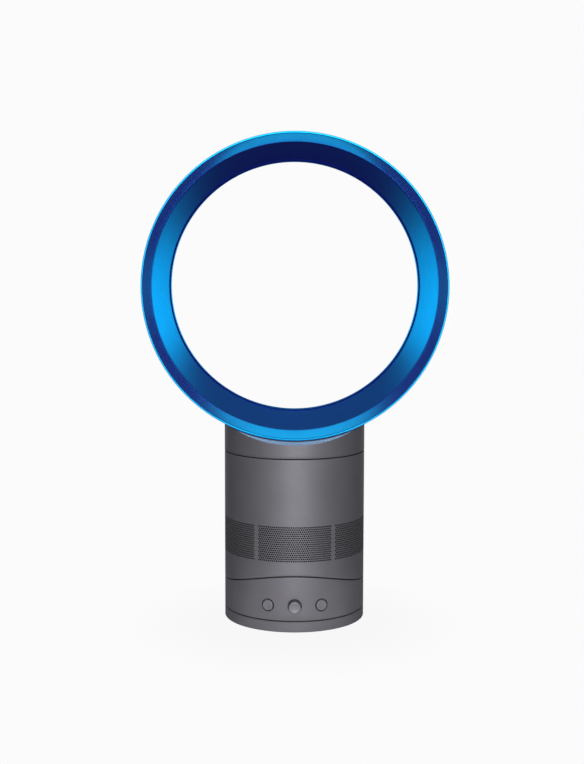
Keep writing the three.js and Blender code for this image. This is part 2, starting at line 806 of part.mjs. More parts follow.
// A perforated screen that fills a window, flush with the casing.
function intakeScreen({ from, to }) {
  const edge = THREE.MathUtils.radToDeg(seat / bodyRadius);
  const bottom = windowBottom + seat;
  const top = windowTop - seat;
  const inner = bodyRadius - screenThickness;
  const plate = arcBlock(inner, bodyRadius, from + edge, to - edge, bottom, top, screenStep);
  const step = THREE.MathUtils.radToDeg(holePitch / bodyRadius);
  const rim = holeRadius + screenMargin;
  const rows = Math.floor((top - bottom - 2 * rim) / rowStep) + 1;
  const half = (to - from) / 2 - edge - THREE.MathUtils.radToDeg(rim / bodyRadius);
  const drills = [];
  for (let row = 0; row < rows; row += 1) {
    const height = (bottom + top) / 2 + (row - (rows - 1) / 2) * rowStep;
    const longest = Math.floor((2 * half) / step) + 1;
    const count = row % 2 ? longest - 1 : longest;
    for (let k = 0; k < count; k += 1) {
      const angle = (from + to) / 2 + (k - (count - 1) / 2) * step;
      const drill = new THREE.CylinderGeometry(holeRadius, holeRadius, 4 * casingWall, holeSides);
      drill.rotateX(Math.PI / 2).translate(0, 0, bodyRadius).rotateX(Math.PI / 2);
      drills.push(drill.rotateZ(degToRad(angle)).translate(0, 0, height));
    }
  }
  return plate.subtract(solid(mergeGeometries(drills)));
}

// The curved plate that slides on the deck, slotted for the rails, with legs that carry the partition.
function bodyFloor() {
  const inside = rod(casingInner - seat, 0, partitionBottom, casingSides);
  const plate = tiltPlate(floorInner, floorOuter, sweepAngle, acrossBody).intersect(inside);
  const leg = rod(floorLegs.radius, 0, partitionBottom - seat, screwSides);
  const corners = [-1, 1].flatMap((x) => [-1, 1].map((y) => [x * floorLegs.x, y * floorLegs.y, 0]));
  const above = tiltPlate(nearAxis, floorOuter, sweepAngle, acrossBody);
  const legs = corners.map((corner) => leg.translate(corner).intersect(above));
  const [inner, outer] = [floorInner - past, floorOuter + past];
  const slot = tiltPlate(inner, outer, slotHalfAngle, [-railWeb / 2 - running, railWeb / 2 + running]);
  const slots = [-1, 1].map((side) => aside(slot, side * railSpread));
  const cableSlot = tiltPlate(inner, outer, cableSlotHalfAngle + tiltLimit, cableSlotSides);
  return cut(join(plate, ...legs), ...slots, cableSlot);
}

const partitionPlate = () =>
  tube(casingInner - seat, cableSlotWidth / 2, partitionBottom, partitionTop);

const silencerFoam = () =>
  tube(casingInner - seat, cableSlotWidth / 2, partitionTop + seat, partitionTop + seat + foamThickness);

// ---------------------------------------------------------------- blower

const supportRing = () => tube(casingInner - seat, flangeRadius - ledgeWidth, ledgeTop + seat, supportTop);

// A soft ring between the support ring and the housing's flange, which keeps the motor's hum from the body.
function isolationRing() {
  const outer = flangeRadius - mountInset;
  return tube(outer, outer - mountWidth, supportTop + seat, supportTop + seat + mountHeight);
}

// The housing's wall at a height inside the cone.
function housingAt(height) {
  const share = (height - housingBottom) / (coneTop - housingBottom);
  return inletRadius + (housingInner - inletRadius) * THREE.MathUtils.clamp(share, 0, 1);
}

function impellerHousing() {
  const outside = (height) => housingAt(height) + housingWall;
  return turned([
    [inletRadius, housingBottom],
    [inletRadius + housingWall, housingBottom],
    [outside(flangeBottom), flangeBottom],
    [flangeRadius, flangeBottom],
    [flangeRadius, flangeTop],
    [outside(flangeTop), flangeTop],
    [housingOuter, coneTop],
    [housingOuter, housingTop],
    [housingInner, housingTop],
    [housingInner, coneTop],
  ]);
}

// The rounded mouth that leads air up into the housing.
function inletBellmouth() {
  const middle = [inletRadius + bellLip, housingBottom - seat];
  const [wide, deep] = [bellLip, bellLip / 2];
  const outer = arc(middle, [wide, deep], 180, 270, 3);
  const inner = arc(middle, [wide - housingWall, deep - housingWall], 270, 180, 3);
  return turned([...outer, ...inner], blowerSides);
}

// Closes the gap between housing and body, so that no air goes back down.
function housingSeal() {
  const bottom = coneTop + sealRise;
  return tube(casingInner - seat, housingOuter + seat, bottom, bottom + sealThickness);
}

// Flat blades round the axis that lean over as they rise, trimmed to the space that they turn or stand in.
function leaningBlades(space, count, lean, thickness, middle) {
  const reach = housingInner;
  const half = thickness / 2;
  const plate = block([0, reach], [-half, half], [-reach, reach]).rotate([lean, 0, 0]);
  const blade = plate.translate([0, 0, middle]).intersect(space);
  return aroundAxis(count, (angle) => blade.rotate([0, 0, angle]));
}

// A cone on the shaft with leaning blades, which throws air outward and up round the motor.
function impeller() {
  const bottom = housingBottom;
  const top = impellerTop;
  const bore = shaftRadius + pressFit;
  const hub = turned(
    [
      [bore, bottom],
      [hubInletRadius, bottom],
      [bucketOuter, top - hubRim],
      [bucketOuter, top],
      [bucketOuter - hubWallThickness, top],
      [hubInletRadius, bottom + hubFloor],
      [bore, bottom + hubFloor],
    ],
    blowerSides,
  );
  const hubAt = (height) =>
    hubInletRadius + ((bucketOuter - hubInletRadius) * (height - bottom)) / (top - hubRim - bottom);
  const [low, high] = [bottom + hubRim, top - 2 * hubRim];
  const space = turned(
    [
      [hubAt(low) - hubRim, low],
      [housingAt(low) - bladeTip, low],
      [housingAt(high) - bladeTip, high],
      [hubAt(high) - hubRim, high],
    ],
    blowerSides,
  );
  return join(hub, ...leaningBlades(space, bladeCount, bladeLean, bladeThickness, (low + high) / 2));
}

const lowerBearingBottom = bucketBottom + housingWall + seat;
const upperBearingBottom = bucketTop - housingWall - seat - bearingHeight;
const statorBottom = lowerBearingBottom + bearingHeight + statorClear;

// The cup under the motor, with a sleeve for the stator and a pocket for the lower bearing.
function bucketLower() {
  const floor = bucketBottom + housingWall;
  return turned([
    [shaftRadius + running, bucketBottom],
    [bucketOuter, bucketBottom],
    [bucketOuter, bucketJoin],
    [bucketInner, bucketJoin],
    [bucketInner, floor],
    [statorOuter + seat + housingWall, floor],
    [statorOuter + seat + housingWall, statorBottom + statorHeight / 2],
    [statorOuter + seat, statorBottom + statorHeight / 2],
    [statorOuter + seat, statorBottom - seat],
    [bearingOuter + seat, statorBottom - seat],
    [bearingOuter + seat, floor],
    [shaftRadius + running, floor],
  ], blowerSides);
}

// The dome over the motor, with a pocket for the upper bearing.
function bucketUpper() {
  const bottom = bucketJoin + seat;
  const ceiling = bucketTop - housingWall;
  const middle = [bucketOuter - domeRadius, bucketTop - domeRadius];
  const innerRadius = domeRadius - housingWall;
  const shoulderDome = arc(middle, [domeRadius, domeRadius], 0, 90, 2);
  const insideDome = arc(middle, [innerRadius, innerRadius], 90, 0, 2);
  return turned([
    [shaftRadius + running, bucketTop],
    [shaftRadius + running, ceiling],
    [bearingOuter + seat, ceiling],
    [bearingOuter + seat, ceiling - bearingHeight],
    [bearingOuter + seat + housingWall, ceiling - bearingHeight],
    [bearingOuter + seat + housingWall, ceiling],
    ...insideDome,
    [bucketInner, bottom],
    [bucketOuter, bottom],
    ...shoulderDome,
  ], blowerSides);
}

// Fins that straighten the air and hold the motor bucket inside the housing.
function diffuserVanes() {
  const inner = bucketOuter + seat;
  const bottom = bucketJoin - vaneHeight - vaneBand;
  const top = bottom + vaneHeight;
  const band = tube(inner + vaneBand, inner, bottom, top, blowerSides);
  const heights = [bottom + vaneRoot, top - vaneRoot];
  const space = tube(housingInner - seat, inner + vaneBand / 2, ...heights, blowerSides);
  const vanes = leaningBlades(space, vaneCount, vaneLean, vaneThickness, (bottom + top) / 2);
  return join(band, ...vanes);
}

const ballBearing = (bottom) =>
  tube(bearingOuter, shaftRadius + seat, bottom, bottom + bearingHeight, smallSides);

const motorStator = () =>
  tube(statorOuter, statorInner, statorBottom, statorBottom + statorHeight, blowerSides);

function rotorMagnet() {
  const bottom = statorBottom + (statorHeight - rotorHeight) / 2;
  return tube(statorInner - running, shaftRadius + seat, bottom, bottom + rotorHeight, blowerSides);
}

const motorShaft = () =>
  rod(shaftRadius - pressFit, housingBottom - hubRim, upperBearingBottom + bearingHeight + seat, shaftSides);

// ---------------------------------------------------------------- twist lock

// A ring welded onto a step in the top of the body, with arms over the motor bucket and bayonet tracks.
function bucketRetainer() {
  const top = bodyTop - seat;
  const ring = tube(retainerOuter, retainerInner, retainerBottom, top);
  const armLength = [bucketOuter - armReach, retainerInner + sunk];
  const armHeights = [retainerBottom, retainerBottom + armHeight];
  const arm = block(armLength, [-armWidth / 2, armWidth / 2], armHeights).rotate([0, 0, 180 / armCount]);
  const arms = aroundAxis(armCount, (angle) => arm.rotate([0, 0, angle]));
  const side = lugAngle / 2 + trackClear;
  const inner = retainerInner - past;
  const outer = bayonetOuter + lugReach + running;
  const low = lugBottom - running;
  const run = arcBlock(inner, outer, -side - twistAngle, side, low, lugBottom + lugHeight + running);
  const entry = arcBlock(inner, outer, -side - twistAngle, side - twistAngle, low, top + past);
  const track = join(run, entry);
  const tracks = aroundAxis(lugCount, (angle) => track.rotate([0, 0, angle]));
  return cut(join(ring, ...arms), ...tracks);
}

// The air ring's lower end: it drops into the retainer and turns under its track.
function bayonetRing() {
  const flangeBottomHeight = collarBottom + seat;
  const sleeve = turned([
    [bayonetInner, bayonetBottom],
    [bayonetOuter, bayonetBottom],
    [bayonetOuter, flangeBottomHeight],
    [casingInner - seat, flangeBottomHeight],
    [casingInner - seat, flangeBottomHeight + collarFlange],
    [bayonetInner, flangeBottomHeight + collarFlange],
  ]);
  const [half, inner, outer] = [lugAngle / 2, bayonetOuter - sunk, bayonetOuter + lugReach];
  const lug = arcBlock(inner, outer, -half, half, lugBottom, lugBottom + lugHeight);
  return join(sleeve, ...aroundAxis(lugCount, (angle) => lug.rotate([0, 0, angle])));
}

// ---------------------------------------------------------------- collar, duct and air ring

const ringDrum = (radius) => alongRing(rod(radius, -2 * bodyRadius, 2 * bodyRadius, ringSides));

function ductOutline(inset) {
  const x = ductWidth / 2 - inset;
  const y = ductDepth / 2 - inset;
  const r = ductCorner - inset;
  const shape = new THREE.Shape();
  shape.absarc(x - r, y - r, r, 0, Math.PI / 2, false);
  shape.absarc(-x + r, y - r, r, Math.PI / 2, Math.PI, false);
  shape.absarc(-x + r, -y + r, r, Math.PI, Math.PI * 1.5, false);
  shape.absarc(x - r, -y + r, r, Math.PI * 1.5, Math.PI * 2, false);
  return shape;
}

const ductBody = (inset, bottom, top) => raised(ductOutline(inset), bottom, top, 6);

// The body's cylinder carried up to a saddle that the air ring lies in.
function collar() {
  const top = ringHeight - ringRadius / 2;
  const wall = tube(bodyRadius, casingInner, collarBottom, top);
  const inside = rod(casingInner + casingWall / 2, collarBottom, top, casingSides);
  const saddle = inside.intersect(ringDrum(saddleRadius + saddleThickness)).subtract(ringDrum(saddleRadius));
  const opening = ductBody(-seat, collarBottom - past, top);
  return cut(join(wall.subtract(ringDrum(saddleRadius)), saddle), opening);
}

// Leads the air from the body into the ring.
function airDuct() {
  const flange = rod(bayonetOuter + ductWall / 2, ductBottom, ductBottom + ductWall, casingSides);
  const top = ringHeight - ringRadius / 2;
  const bore = ductBody(ductWall, ductBottom - past, top + past);
  return cut(join(flange, ductBody(0, ductBottom, top)), bore, ringDrum(ringRadius + seat));
}

const ringFront = -ringDepth / 2;
const rearStart = ringDepth / 2 - rearDepth;
const rearMiddle = (ringRadius - ringTaper + throatRadius) / 2;
const rearHalf = (ringRadius - ringTaper - throatRadius) / 2;

// Wraps round the back and ends in a thin lip that points forward, just inside the inner shell.
function ringOuterShell() {
  const lipEnd = rearStart - lipLength;
  const outside = arc([rearMiddle, rearStart], [rearHalf, rearDepth], 0, 180, 6);
  const inside = arc([rearMiddle, rearStart], [rearHalf - tipWidth, rearDepth - tipWidth], 180, 0, 4);
  const shell = turned(
    [
      [ringRadius, ringFront],
      ...outside,
      [throatRadius + lipBevel, lipEnd],
      [throatRadius + tipWidth - lipBevel, lipEnd],
      ...inside,
      [ringRadius - tipWidth, ringFront],
    ],
    ringSides,
  );
  const opening = ductBody(ductWall, collarBottom, ringHeight - throatRadius);
  return alongRing(shell).subtract(opening);
}

const guideRadius = ringRadius - tipWidth - seat - bevelWidth;
const bevelEnd = ringFront + bevelWidth + seat;
const guideEnd = bevelEnd + guideDepth;
const slotRadius = throatRadius + tipWidth + slotWidth;
const coandaStart = rearStart - lipLength + coandaStep;

// The bevel, the guide and diffuser surfaces that the air clings to, and the rounded edge beside the slot.
// Ribs on its back hold the two shells apart.
function ringInnerShell() {
  const bevelStart = ringRadius - tipWidth - seat;
  const noseMiddle = [slotRadius + coandaRadius, coandaStart];
  const nose = arc(noseMiddle, [coandaRadius, coandaRadius], 180, coandaEnd, 2);
  const shell = turned(
    [
      [bevelStart, ringFront + seat],
      [guideRadius, bevelEnd],
      [guideRadius - guideTaper, guideEnd],
      ...nose,
      [guideRadius - guideTaper + innerWall, guideEnd],
      [guideRadius + innerWall, bevelEnd + innerWall / 2],
      [bevelStart, ringFront + seat + innerWall],
    ],
    ringSides,
  );
  const flatInner = (ringRadius - tipWidth) * Math.cos(Math.PI / ringSides);
  const half = spacerThickness / 2;
  const start = bevelEnd + spacerInset;
  const across = [-(flatInner - spacerClear), -(guideRadius + innerWall / 2)];
  const rib = block([-half, half], across, [start, start + spacerDepth]);
  const ribs = aroundAxis(spacerCount, (angle) => rib.rotate([0, 0, angle + 180 / spacerCount]));
  return alongRing(join(shell, ...ribs));
}

// ---------------------------------------------------------------- materials

const finish = (color, roughness, metalness) =>
  new THREE.MeshStandardMaterial({ color, roughness, metalness });
const plastic = (color, roughness = 0.5) => finish(color, roughness, 0);
const metal = (color, roughness = 0.35) => finish(color, roughness, 0.85);

const ironPaint = metal(0x6b6b73, 0.42);
const bluePaint = metal(0x0f7fc4, 0.3);
const darkPlastic = plastic(0x232326);
const greyPlastic = plastic(0x77777c);
const whitePlastic = plastic(0xd9d9d4);
const rubber = plastic(0x161616, 0.85);
const foam = plastic(0x3a3a3c, 0.95);
const steel = metal(0xb8babd);
const brass = metal(0xb08d4a);
const circuit = plastic(0x1f5d3a);

// ---------------------------------------------------------------- assembly

function mesh(name, material, made) {
  const piece = new THREE.Mesh(geometryOf(made), material);
  piece.name = name;
  return piece;
}

const group = (...children) => new THREE.Group().add(...children);

const foot = group(
  mesh("foot_shell", ironPaint, footShell()),
  mesh("foot_pad", rubber, footPad()),
  mesh("thrust_bearing", whitePlastic, thrustBearing()),
  mesh("fixed_gear", whitePlastic, fixedGear()),
  mesh("gear_screw", steel, gearScrew()),
  mesh("cable_gland", rubber, cableGland()),
);

const controlSection = group(
  mesh("control_housing", ironPaint, controlHousing()),
  mesh("turntable", greyPlastic, turntable()),
  ...screwSpots.map((angle, i) => mesh(`turntable_screw_${i + 1}`, steel, turntableScrew(angle))),
  mesh("hub_washer", whitePlastic, hubWasher()),
  mesh("motor_bracket", steel, motorBracket()),
  mesh("swing_motor", steel, swingMotor()),
  mesh("drive_pinion", brass, drivePinion()),
  mesh("tilt_rail_left", greyPlastic, tiltRail(-1)),
  mesh("tilt_rail_right", greyPlastic, tiltRail(1)),
  mesh("glide_strip_left", whitePlastic, glideStrip(-1)),
  mesh("glide_strip_right", whitePlastic, glideStrip(1)),
  mesh("rail_screw_left", steel, railScrew(-1)),
  mesh("rail_screw_right", steel, railScrew(1)),
  mesh("power_button", ironPaint, pushButton(-controlSpread)),
  mesh("oscillation_button", ironPaint, pushButton(controlSpread)),
  mesh("speed_dial", ironPaint, speedDial()),
  mesh("power_switch", darkPlastic, pushSwitch(-controlSpread)),
  mesh("oscillation_switch", darkPlastic, pushSwitch(controlSpread)),
  mesh("dial_encoder", darkPlastic, dialEncoder()),
  mesh("control_board", circuit, controlBoard()),
  mesh("board_bracket", greyPlastic, boardBracket()),
  mesh("main_board", circuit, mainBoard()),
);

const body = group(
  mesh("body_shell", ironPaint, bodyShell()),
  ...windows().map((window) => mesh(`intake_screen_${window.name}`, ironPaint, intakeScreen(window))),
  mesh("body_floor", greyPlastic, bodyFloor()),
  mesh("partition_plate", greyPlastic, partitionPlate()),
  mesh("silencer_foam", foam, silencerFoam()),
  mesh("bucket_retainer", greyPlastic, bucketRetainer()),
);

const blower = group(
  mesh("support_ring", greyPlastic, supportRing()),
  mesh("isolation_ring", rubber, isolationRing()),
  mesh("impeller_housing", darkPlastic, impellerHousing()),
  mesh("inlet_bellmouth", darkPlastic, inletBellmouth()),
  mesh("housing_seal", rubber, housingSeal()),
  mesh("bucket_lower", greyPlastic, bucketLower()),
  mesh("bucket_upper", greyPlastic, bucketUpper()),
  mesh("diffuser_vanes", darkPlastic, diffuserVanes()),
  mesh("bearing_lower", steel, ballBearing(lowerBearingBottom)),
  mesh("bearing_upper", steel, ballBearing(upperBearingBottom)),
  mesh("motor_stator", brass, motorStator()),
  mesh("rotor_magnet", steel, rotorMagnet()),
  mesh("motor_shaft", steel, motorShaft()),
  mesh("impeller", darkPlastic, impeller()),
);

const airRing = group(
  mesh("collar", ironPaint, collar()),
  mesh("bayonet_ring", greyPlastic, bayonetRing()),
  mesh("air_duct", darkPlastic, airDuct()),
  mesh("ring_outer_shell", bluePaint, ringOuterShell()),
  mesh("ring_inner_shell", bluePaint, ringInnerShell()),
);

export default group(foot, controlSection, body, blower, airRing);
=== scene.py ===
"""Looks for a bladeless desk fan: detailed casings, materials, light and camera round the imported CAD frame.

Lengths are written in millimetres and turned to metres where a mesh or lamp is made. +Z is up, the controls
face -Y, and angles round the body are counted from the front towards +X.
"""

import math

import bpy
from mathutils import Matrix, Vector

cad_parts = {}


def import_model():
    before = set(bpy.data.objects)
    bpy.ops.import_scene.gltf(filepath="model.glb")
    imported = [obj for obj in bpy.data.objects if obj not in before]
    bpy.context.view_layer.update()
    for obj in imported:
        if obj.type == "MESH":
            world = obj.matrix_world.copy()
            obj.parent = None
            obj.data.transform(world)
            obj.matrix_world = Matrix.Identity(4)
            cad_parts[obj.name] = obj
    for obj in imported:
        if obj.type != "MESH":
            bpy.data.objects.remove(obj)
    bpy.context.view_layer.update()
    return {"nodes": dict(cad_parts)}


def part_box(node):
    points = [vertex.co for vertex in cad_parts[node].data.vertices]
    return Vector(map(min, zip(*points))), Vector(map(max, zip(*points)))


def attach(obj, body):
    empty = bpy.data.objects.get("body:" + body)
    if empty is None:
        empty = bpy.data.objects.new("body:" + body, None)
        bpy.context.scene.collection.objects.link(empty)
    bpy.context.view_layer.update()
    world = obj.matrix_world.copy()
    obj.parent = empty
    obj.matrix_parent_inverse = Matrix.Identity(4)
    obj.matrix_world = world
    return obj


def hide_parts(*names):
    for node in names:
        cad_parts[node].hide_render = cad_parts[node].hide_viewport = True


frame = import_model()

MM = 0.001

# ---------------------------------------------------------------- sizes

def node_z(name, end):
    """A CAD node's lowest (0) or highest (1) point, in millimetres."""
    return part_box(name)[end].z * 1000


def middle_z(name):
    return (node_z(name, 0) + node_z(name, 1)) / 2


# Casings
BODY_R = 72.0
CASING_INNER = 69.8
SKIN_INNER = 70.6  # inside of the perforated body
TILT_Z = node_z("tilt_rail_left", 0) + 173.15  # the tilt axis, above the rails' feet
DECK_R = 173.45  # control section's top, about the tilt axis
FLOOR_R = 172.55  # body's lower edge, about the same axis
BODY_TOP = node_z("body_shell", 1)
COLLAR_BOTTOM = node_z("collar", 0)

# Foot
PAD_PROUD = 0.8
PAD_INNER, PAD_OUTER, PAD_TOP = 55, 67, 2.0
FOOT_BOTTOM = 0.25  # of the rim outside the pad
FOOT_EDGE = 0.9
FOOT_TOP = 11.1
GLAND_Z = middle_z("cable_gland")

# Controls
CONTROL_BOTTOM = 12.0
BUTTON_Z = 27.0
BUTTON_SPREAD = 21.7  # degrees between neighbours
BUTTON_ANGLES = (-BUTTON_SPREAD, 0, BUTTON_SPREAD)
DIAL_OPENING_R = 6.85
KEY_OPENING_R = 6.3
KEY_R = 5.55
DIAL_R = 6.2
RIM_R = 8.35  # of the rims that hold the controls, inside the casing
RIM_BACK, RIM_FRONT = 67.4, 68.8  # distances from the body's axis

# Air ring
RING_R = 152.5
RING_Z = middle_z("ring_outer_shell")
RING_FRONT = -44.0
SADDLE_R = 153.7  # of the collar's hollow, about the ring's axis
THROAT_R = 128.4
NOSE_AT, NOSE_R = 132.9, 3.2  # the rounded edge beside the slot

# Perforated band: each panel is its middle angle, its cells round the body and their pitch in degrees
ROWS = 17
ROW_PITCH = 2.106
FIRST_ROW_Z = 71.85
HOLE_R = 0.86
WIDE, NARROW = (36, 1.693), (32, 1.717)
PANELS = [(angle, *cells) for angle, cells in ((0, WIDE), (61, NARROW), (119, NARROW),
                                               (180, WIDE), (241, NARROW), (299, NARROW))]


# ---------------------------------------------------------------- mesh tools

def side_normals(section, crease=32):
    """For each strip between neighbouring section points, the normals at its two ends."""
    n = len(section)
    flat = []
    for i in range(n):
        (r0, z0), (r1, z1) = section[i], section[(i + 1) % n]
        length = math.hypot(r1 - r0, z1 - z0) or 1
        flat.append(((z1 - z0) / length, -(r1 - r0) / length))
    limit = math.cos(math.radians(crease))

    def blended(a, b):
        if a[0] * b[0] + a[1] * b[1] < limit:
            return None
        x, y = a[0] + b[0], a[1] + b[1]
        length = math.hypot(x, y)
        return (x / length, y / length)

    ends = []
    for i in range(n):
        before, after = blended(flat[i - 1], flat[i]), blended(flat[i], flat[(i + 1) % n])
        ends.append((before or flat[i], after or flat[i]))
    return ends


def add_piece(name, mesh, body, replaces=()):
    """Puts a mesh in the scene as a piece that rides on a body."""
    piece = bpy.data.objects.new(name, mesh)
    bpy.context.scene.collection.objects.link(piece)
    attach(piece, body)
    if replaces:
        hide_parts(*replaces)


def shell_mesh(name, verts, faces, materials, crease):
    """A mesh in metres with soft shading and sharp creases."""
    mesh = bpy.data.meshes.new(name)
    mesh.from_pydata(verts, [], faces)
    for material in materials:
        mesh.materials.append(material)
    mesh.polygons.foreach_set("use_smooth", [True] * len(mesh.polygons))
    mesh.set_sharp_from_angle(angle=math.radians(crease))
    return mesh


class Skin:
    """A closed section turned about Z, in millimetres, with holes through it where patches ask for them."""

    def __init__(self, section, columns, bend=None):
        self.section = section
        self.columns = [math.radians(a) for a in columns]
        self.bend = bend or {}
        self.verts, self.faces, self.normals, self.marks = [], [], [], []
        self.grid = {}
        self.skip = set()
        self.plain = side_normals(section)

    def point(self, j, i):
        j %= len(self.columns)
        r, z = self.section[i]
        if r == 0:
            j = 0
        if (j, i) not in self.grid:
            a = self.columns[j]
            height = self.bend[i](a, r) if i in self.bend else z
            self.grid[(j, i)] = self.add(r, a, height)
        return self.grid[(j, i)]

    def add(self, r, a, z):
        self.verts.append((r * math.sin(a), -r * math.cos(a), z))
        return len(self.verts) - 1

    def face(self, corners, normals, mark=0):
        kept = [(v, n) for k, (v, n) in enumerate(zip(corners, normals)) if v != corners[k - 1]]
        if len(kept) > 2:
            self.faces.append([v for v, _ in kept])
            self.normals.extend(n for _, n in kept)
            self.marks.append(mark)

    def radial(self, a, sign=1):
        return (sign * math.sin(a), -sign * math.cos(a), 0)

    def pierce(self, c0, c1, rows, mirror, angle, z, radius, bevel=0.0):
        """Leaves out a block of the grid, outside and inside, and joins its rim to a round hole."""
        i0, i1 = rows
        angle = math.radians(angle)
        for c in range(c0, c1):
            for i in range(i0, i1):
                self.skip.add((c % len(self.columns), i))
                self.skip.add((c % len(self.columns), mirror - i - 1))
        rim = [(c, i0) for c in range(c0, c1)] + [(c1, i) for i in range(i0, i1)]
        rim += [(c, i1) for c in range(c1, c0, -1)] + [(c0, i) for i in range(i1, i0, -1)]
        count = len(rim)
        turns = [math.radians(225 + 360 * k / count) for k in range(count)]

        def circle(r, hole):
            spots = []
            for t in turns:
                a = angle + math.asin(hole * math.cos(t) / r)
                spots.append((self.add(r, a, z + hole * math.sin(t)), a))
            return spots

        outer_r, inner_r = self.section[i0][0], self.section[mirror - i0][0]
        right, up = (math.cos(angle), math.sin(angle), 0), (0, 0, 1)
        inward = [tuple(-math.cos(t) * x - math.sin(t) * w for x, w in zip(right, up)) for t in turns]
        outer, inner = circle(outer_r, radius + bevel), circle(inner_r, radius)
        rings = [outer, inner]
        if bevel:
            rings = [outer, circle(outer_r - bevel, radius), inner]
        for k in range(count):
            m = (k + 1) % count
            (ca, ia), (cb, ib) = rim[k], rim[m]
            angles = [self.columns[c % len(self.columns)] for c in (ca, cb)]
            self.face(
                [self.point(ca, ia), self.point(cb, ib), outer[m][0], outer[k][0]],
                [self.radial(a) for a in (*angles, outer[m][1], outer[k][1])])
            # Mark 1 is the inside finish: the near-black painted shade on the inner face and the hole's
            # walls.
            self.face(
                [self.point(cb, mirror - ib), self.point(ca, mirror - ia), inner[k][0], inner[m][0]],
                [self.radial(a, -1) for a in (*reversed(angles), inner[k][1], inner[m][1])], 1)
            for n, (front, back) in enumerate(zip(rings, rings[1:])):
                ends = [inward[k], inward[m]]
                lead = [Vector(v) for v in ends]
                if bevel and n == 0:
                    lead = [(v + Vector(self.radial(outer[q][1]))).normalized() for v, q in zip(lead, (k, m))]
                self.face(
                    [front[k][0], front[m][0], back[m][0], back[k][0]],
                    [tuple(lead[0]), tuple(lead[1]), ends[1], ends[0]], 1)

    def build(self, name, body, materials, matrix=None, replaces=(), marks=None):
        n, m = len(self.section), len(self.columns)
        for j in range(m):
            a, b = self.columns[j], self.columns[(j + 1) % m]
            for i in range(n):
                if (j, i) in self.skip:
                    continue
                k = (i + 1) % n
                (r0, w0), (r1, w1) = self.plain[i]
                normals = [(r * math.sin(t), -r * math.cos(t), w)
                           for r, w, t in ((r0, w0, a), (r0, w0, b), (r1, w1, b), (r1, w1, a))]
                corners = [self.point(j, i), self.point(j + 1, i), self.point(j + 1, k), self.point(j, k)]
                self.face(corners, normals, marks[i] if marks else 0)
        matrix = matrix or Matrix()
        turn = matrix.to_3x3()
        mesh = bpy.data.meshes.new(name)
        mesh.from_pydata([(matrix @ Vector(v)) * MM for v in self.verts], [], self.faces)
        for material in materials:
            mesh.materials.append(material)
        top = len(materials) - 1
        mesh.polygons.foreach_set("material_index", [min(mark, top) for mark in self.marks])
        mesh.polygons.foreach_set("use_smooth", [True] * len(mesh.polygons))
        mesh.normals_split_custom_set([tuple(turn @ Vector(v)) for v in self.normals])
        mesh.update()
        add_piece(name, mesh, body, replaces)


def arc(centre, radius, start, end, steps):
    """Section points on an arc, between two angles in degrees."""
    (r, z), (wide, high) = centre, radius if isinstance(radius, tuple) else (radius, radius)
    return [(r + wide * math.cos(math.radians(start + (end - start) * k / steps)),
             z + high * math.sin(math.radians(start + (end - start) * k / steps))) for k in range(steps + 1)]


def even(count):
    """Angles spread evenly round the axis."""
    return [360 * k / count for k in range(count)]


def facing(angle, height):
    """Lays a solid whose axis is Z out from the body's axis, at an angle from the front."""
    return (Matrix.Translation((0, 0, height)) @ Matrix.Rotation(math.radians(angle), 4, "Z")
            @ Matrix.Rotation(math.radians(90), 4, "X"))


ALONG_RING = Matrix.Translation((0, 0, RING_Z)) @ Matrix.Rotation(math.radians(-90), 4, "X")


def seam_height(radius, lift=0.0):
    """Height of the curved seam on a wall, at an angle round the body."""
    return lambda a, r: TILT_Z - math.sqrt(radius ** 2 - (r * math.cos(a)) ** 2) + lift


# ---------------------------------------------------------------- materials

def add_node(tree, kind, inputs=(), **settings):
    """Adds a node. An input's value is a number, or the socket that feeds it."""
    made = tree.nodes.new(kind)
    for key, value in settings.items():
        setattr(made, key, value)
    for key, value in dict(inputs).items():
        if isinstance(value, bpy.types.NodeSocket):
            tree.links.new(value, made.inputs[key])
        else:
            made.inputs[key].default_value = value
    return made


def fill_ramp(ramp, stops):
    """Sets a ramp's stops, each a place and an RGB colour."""
    while len(ramp.elements) < len(stops):
        ramp.elements.new(0.5)
    for element, (at, colour) in zip(ramp.elements, stops):
        element.position = at
        element.color = (*colour, 1)


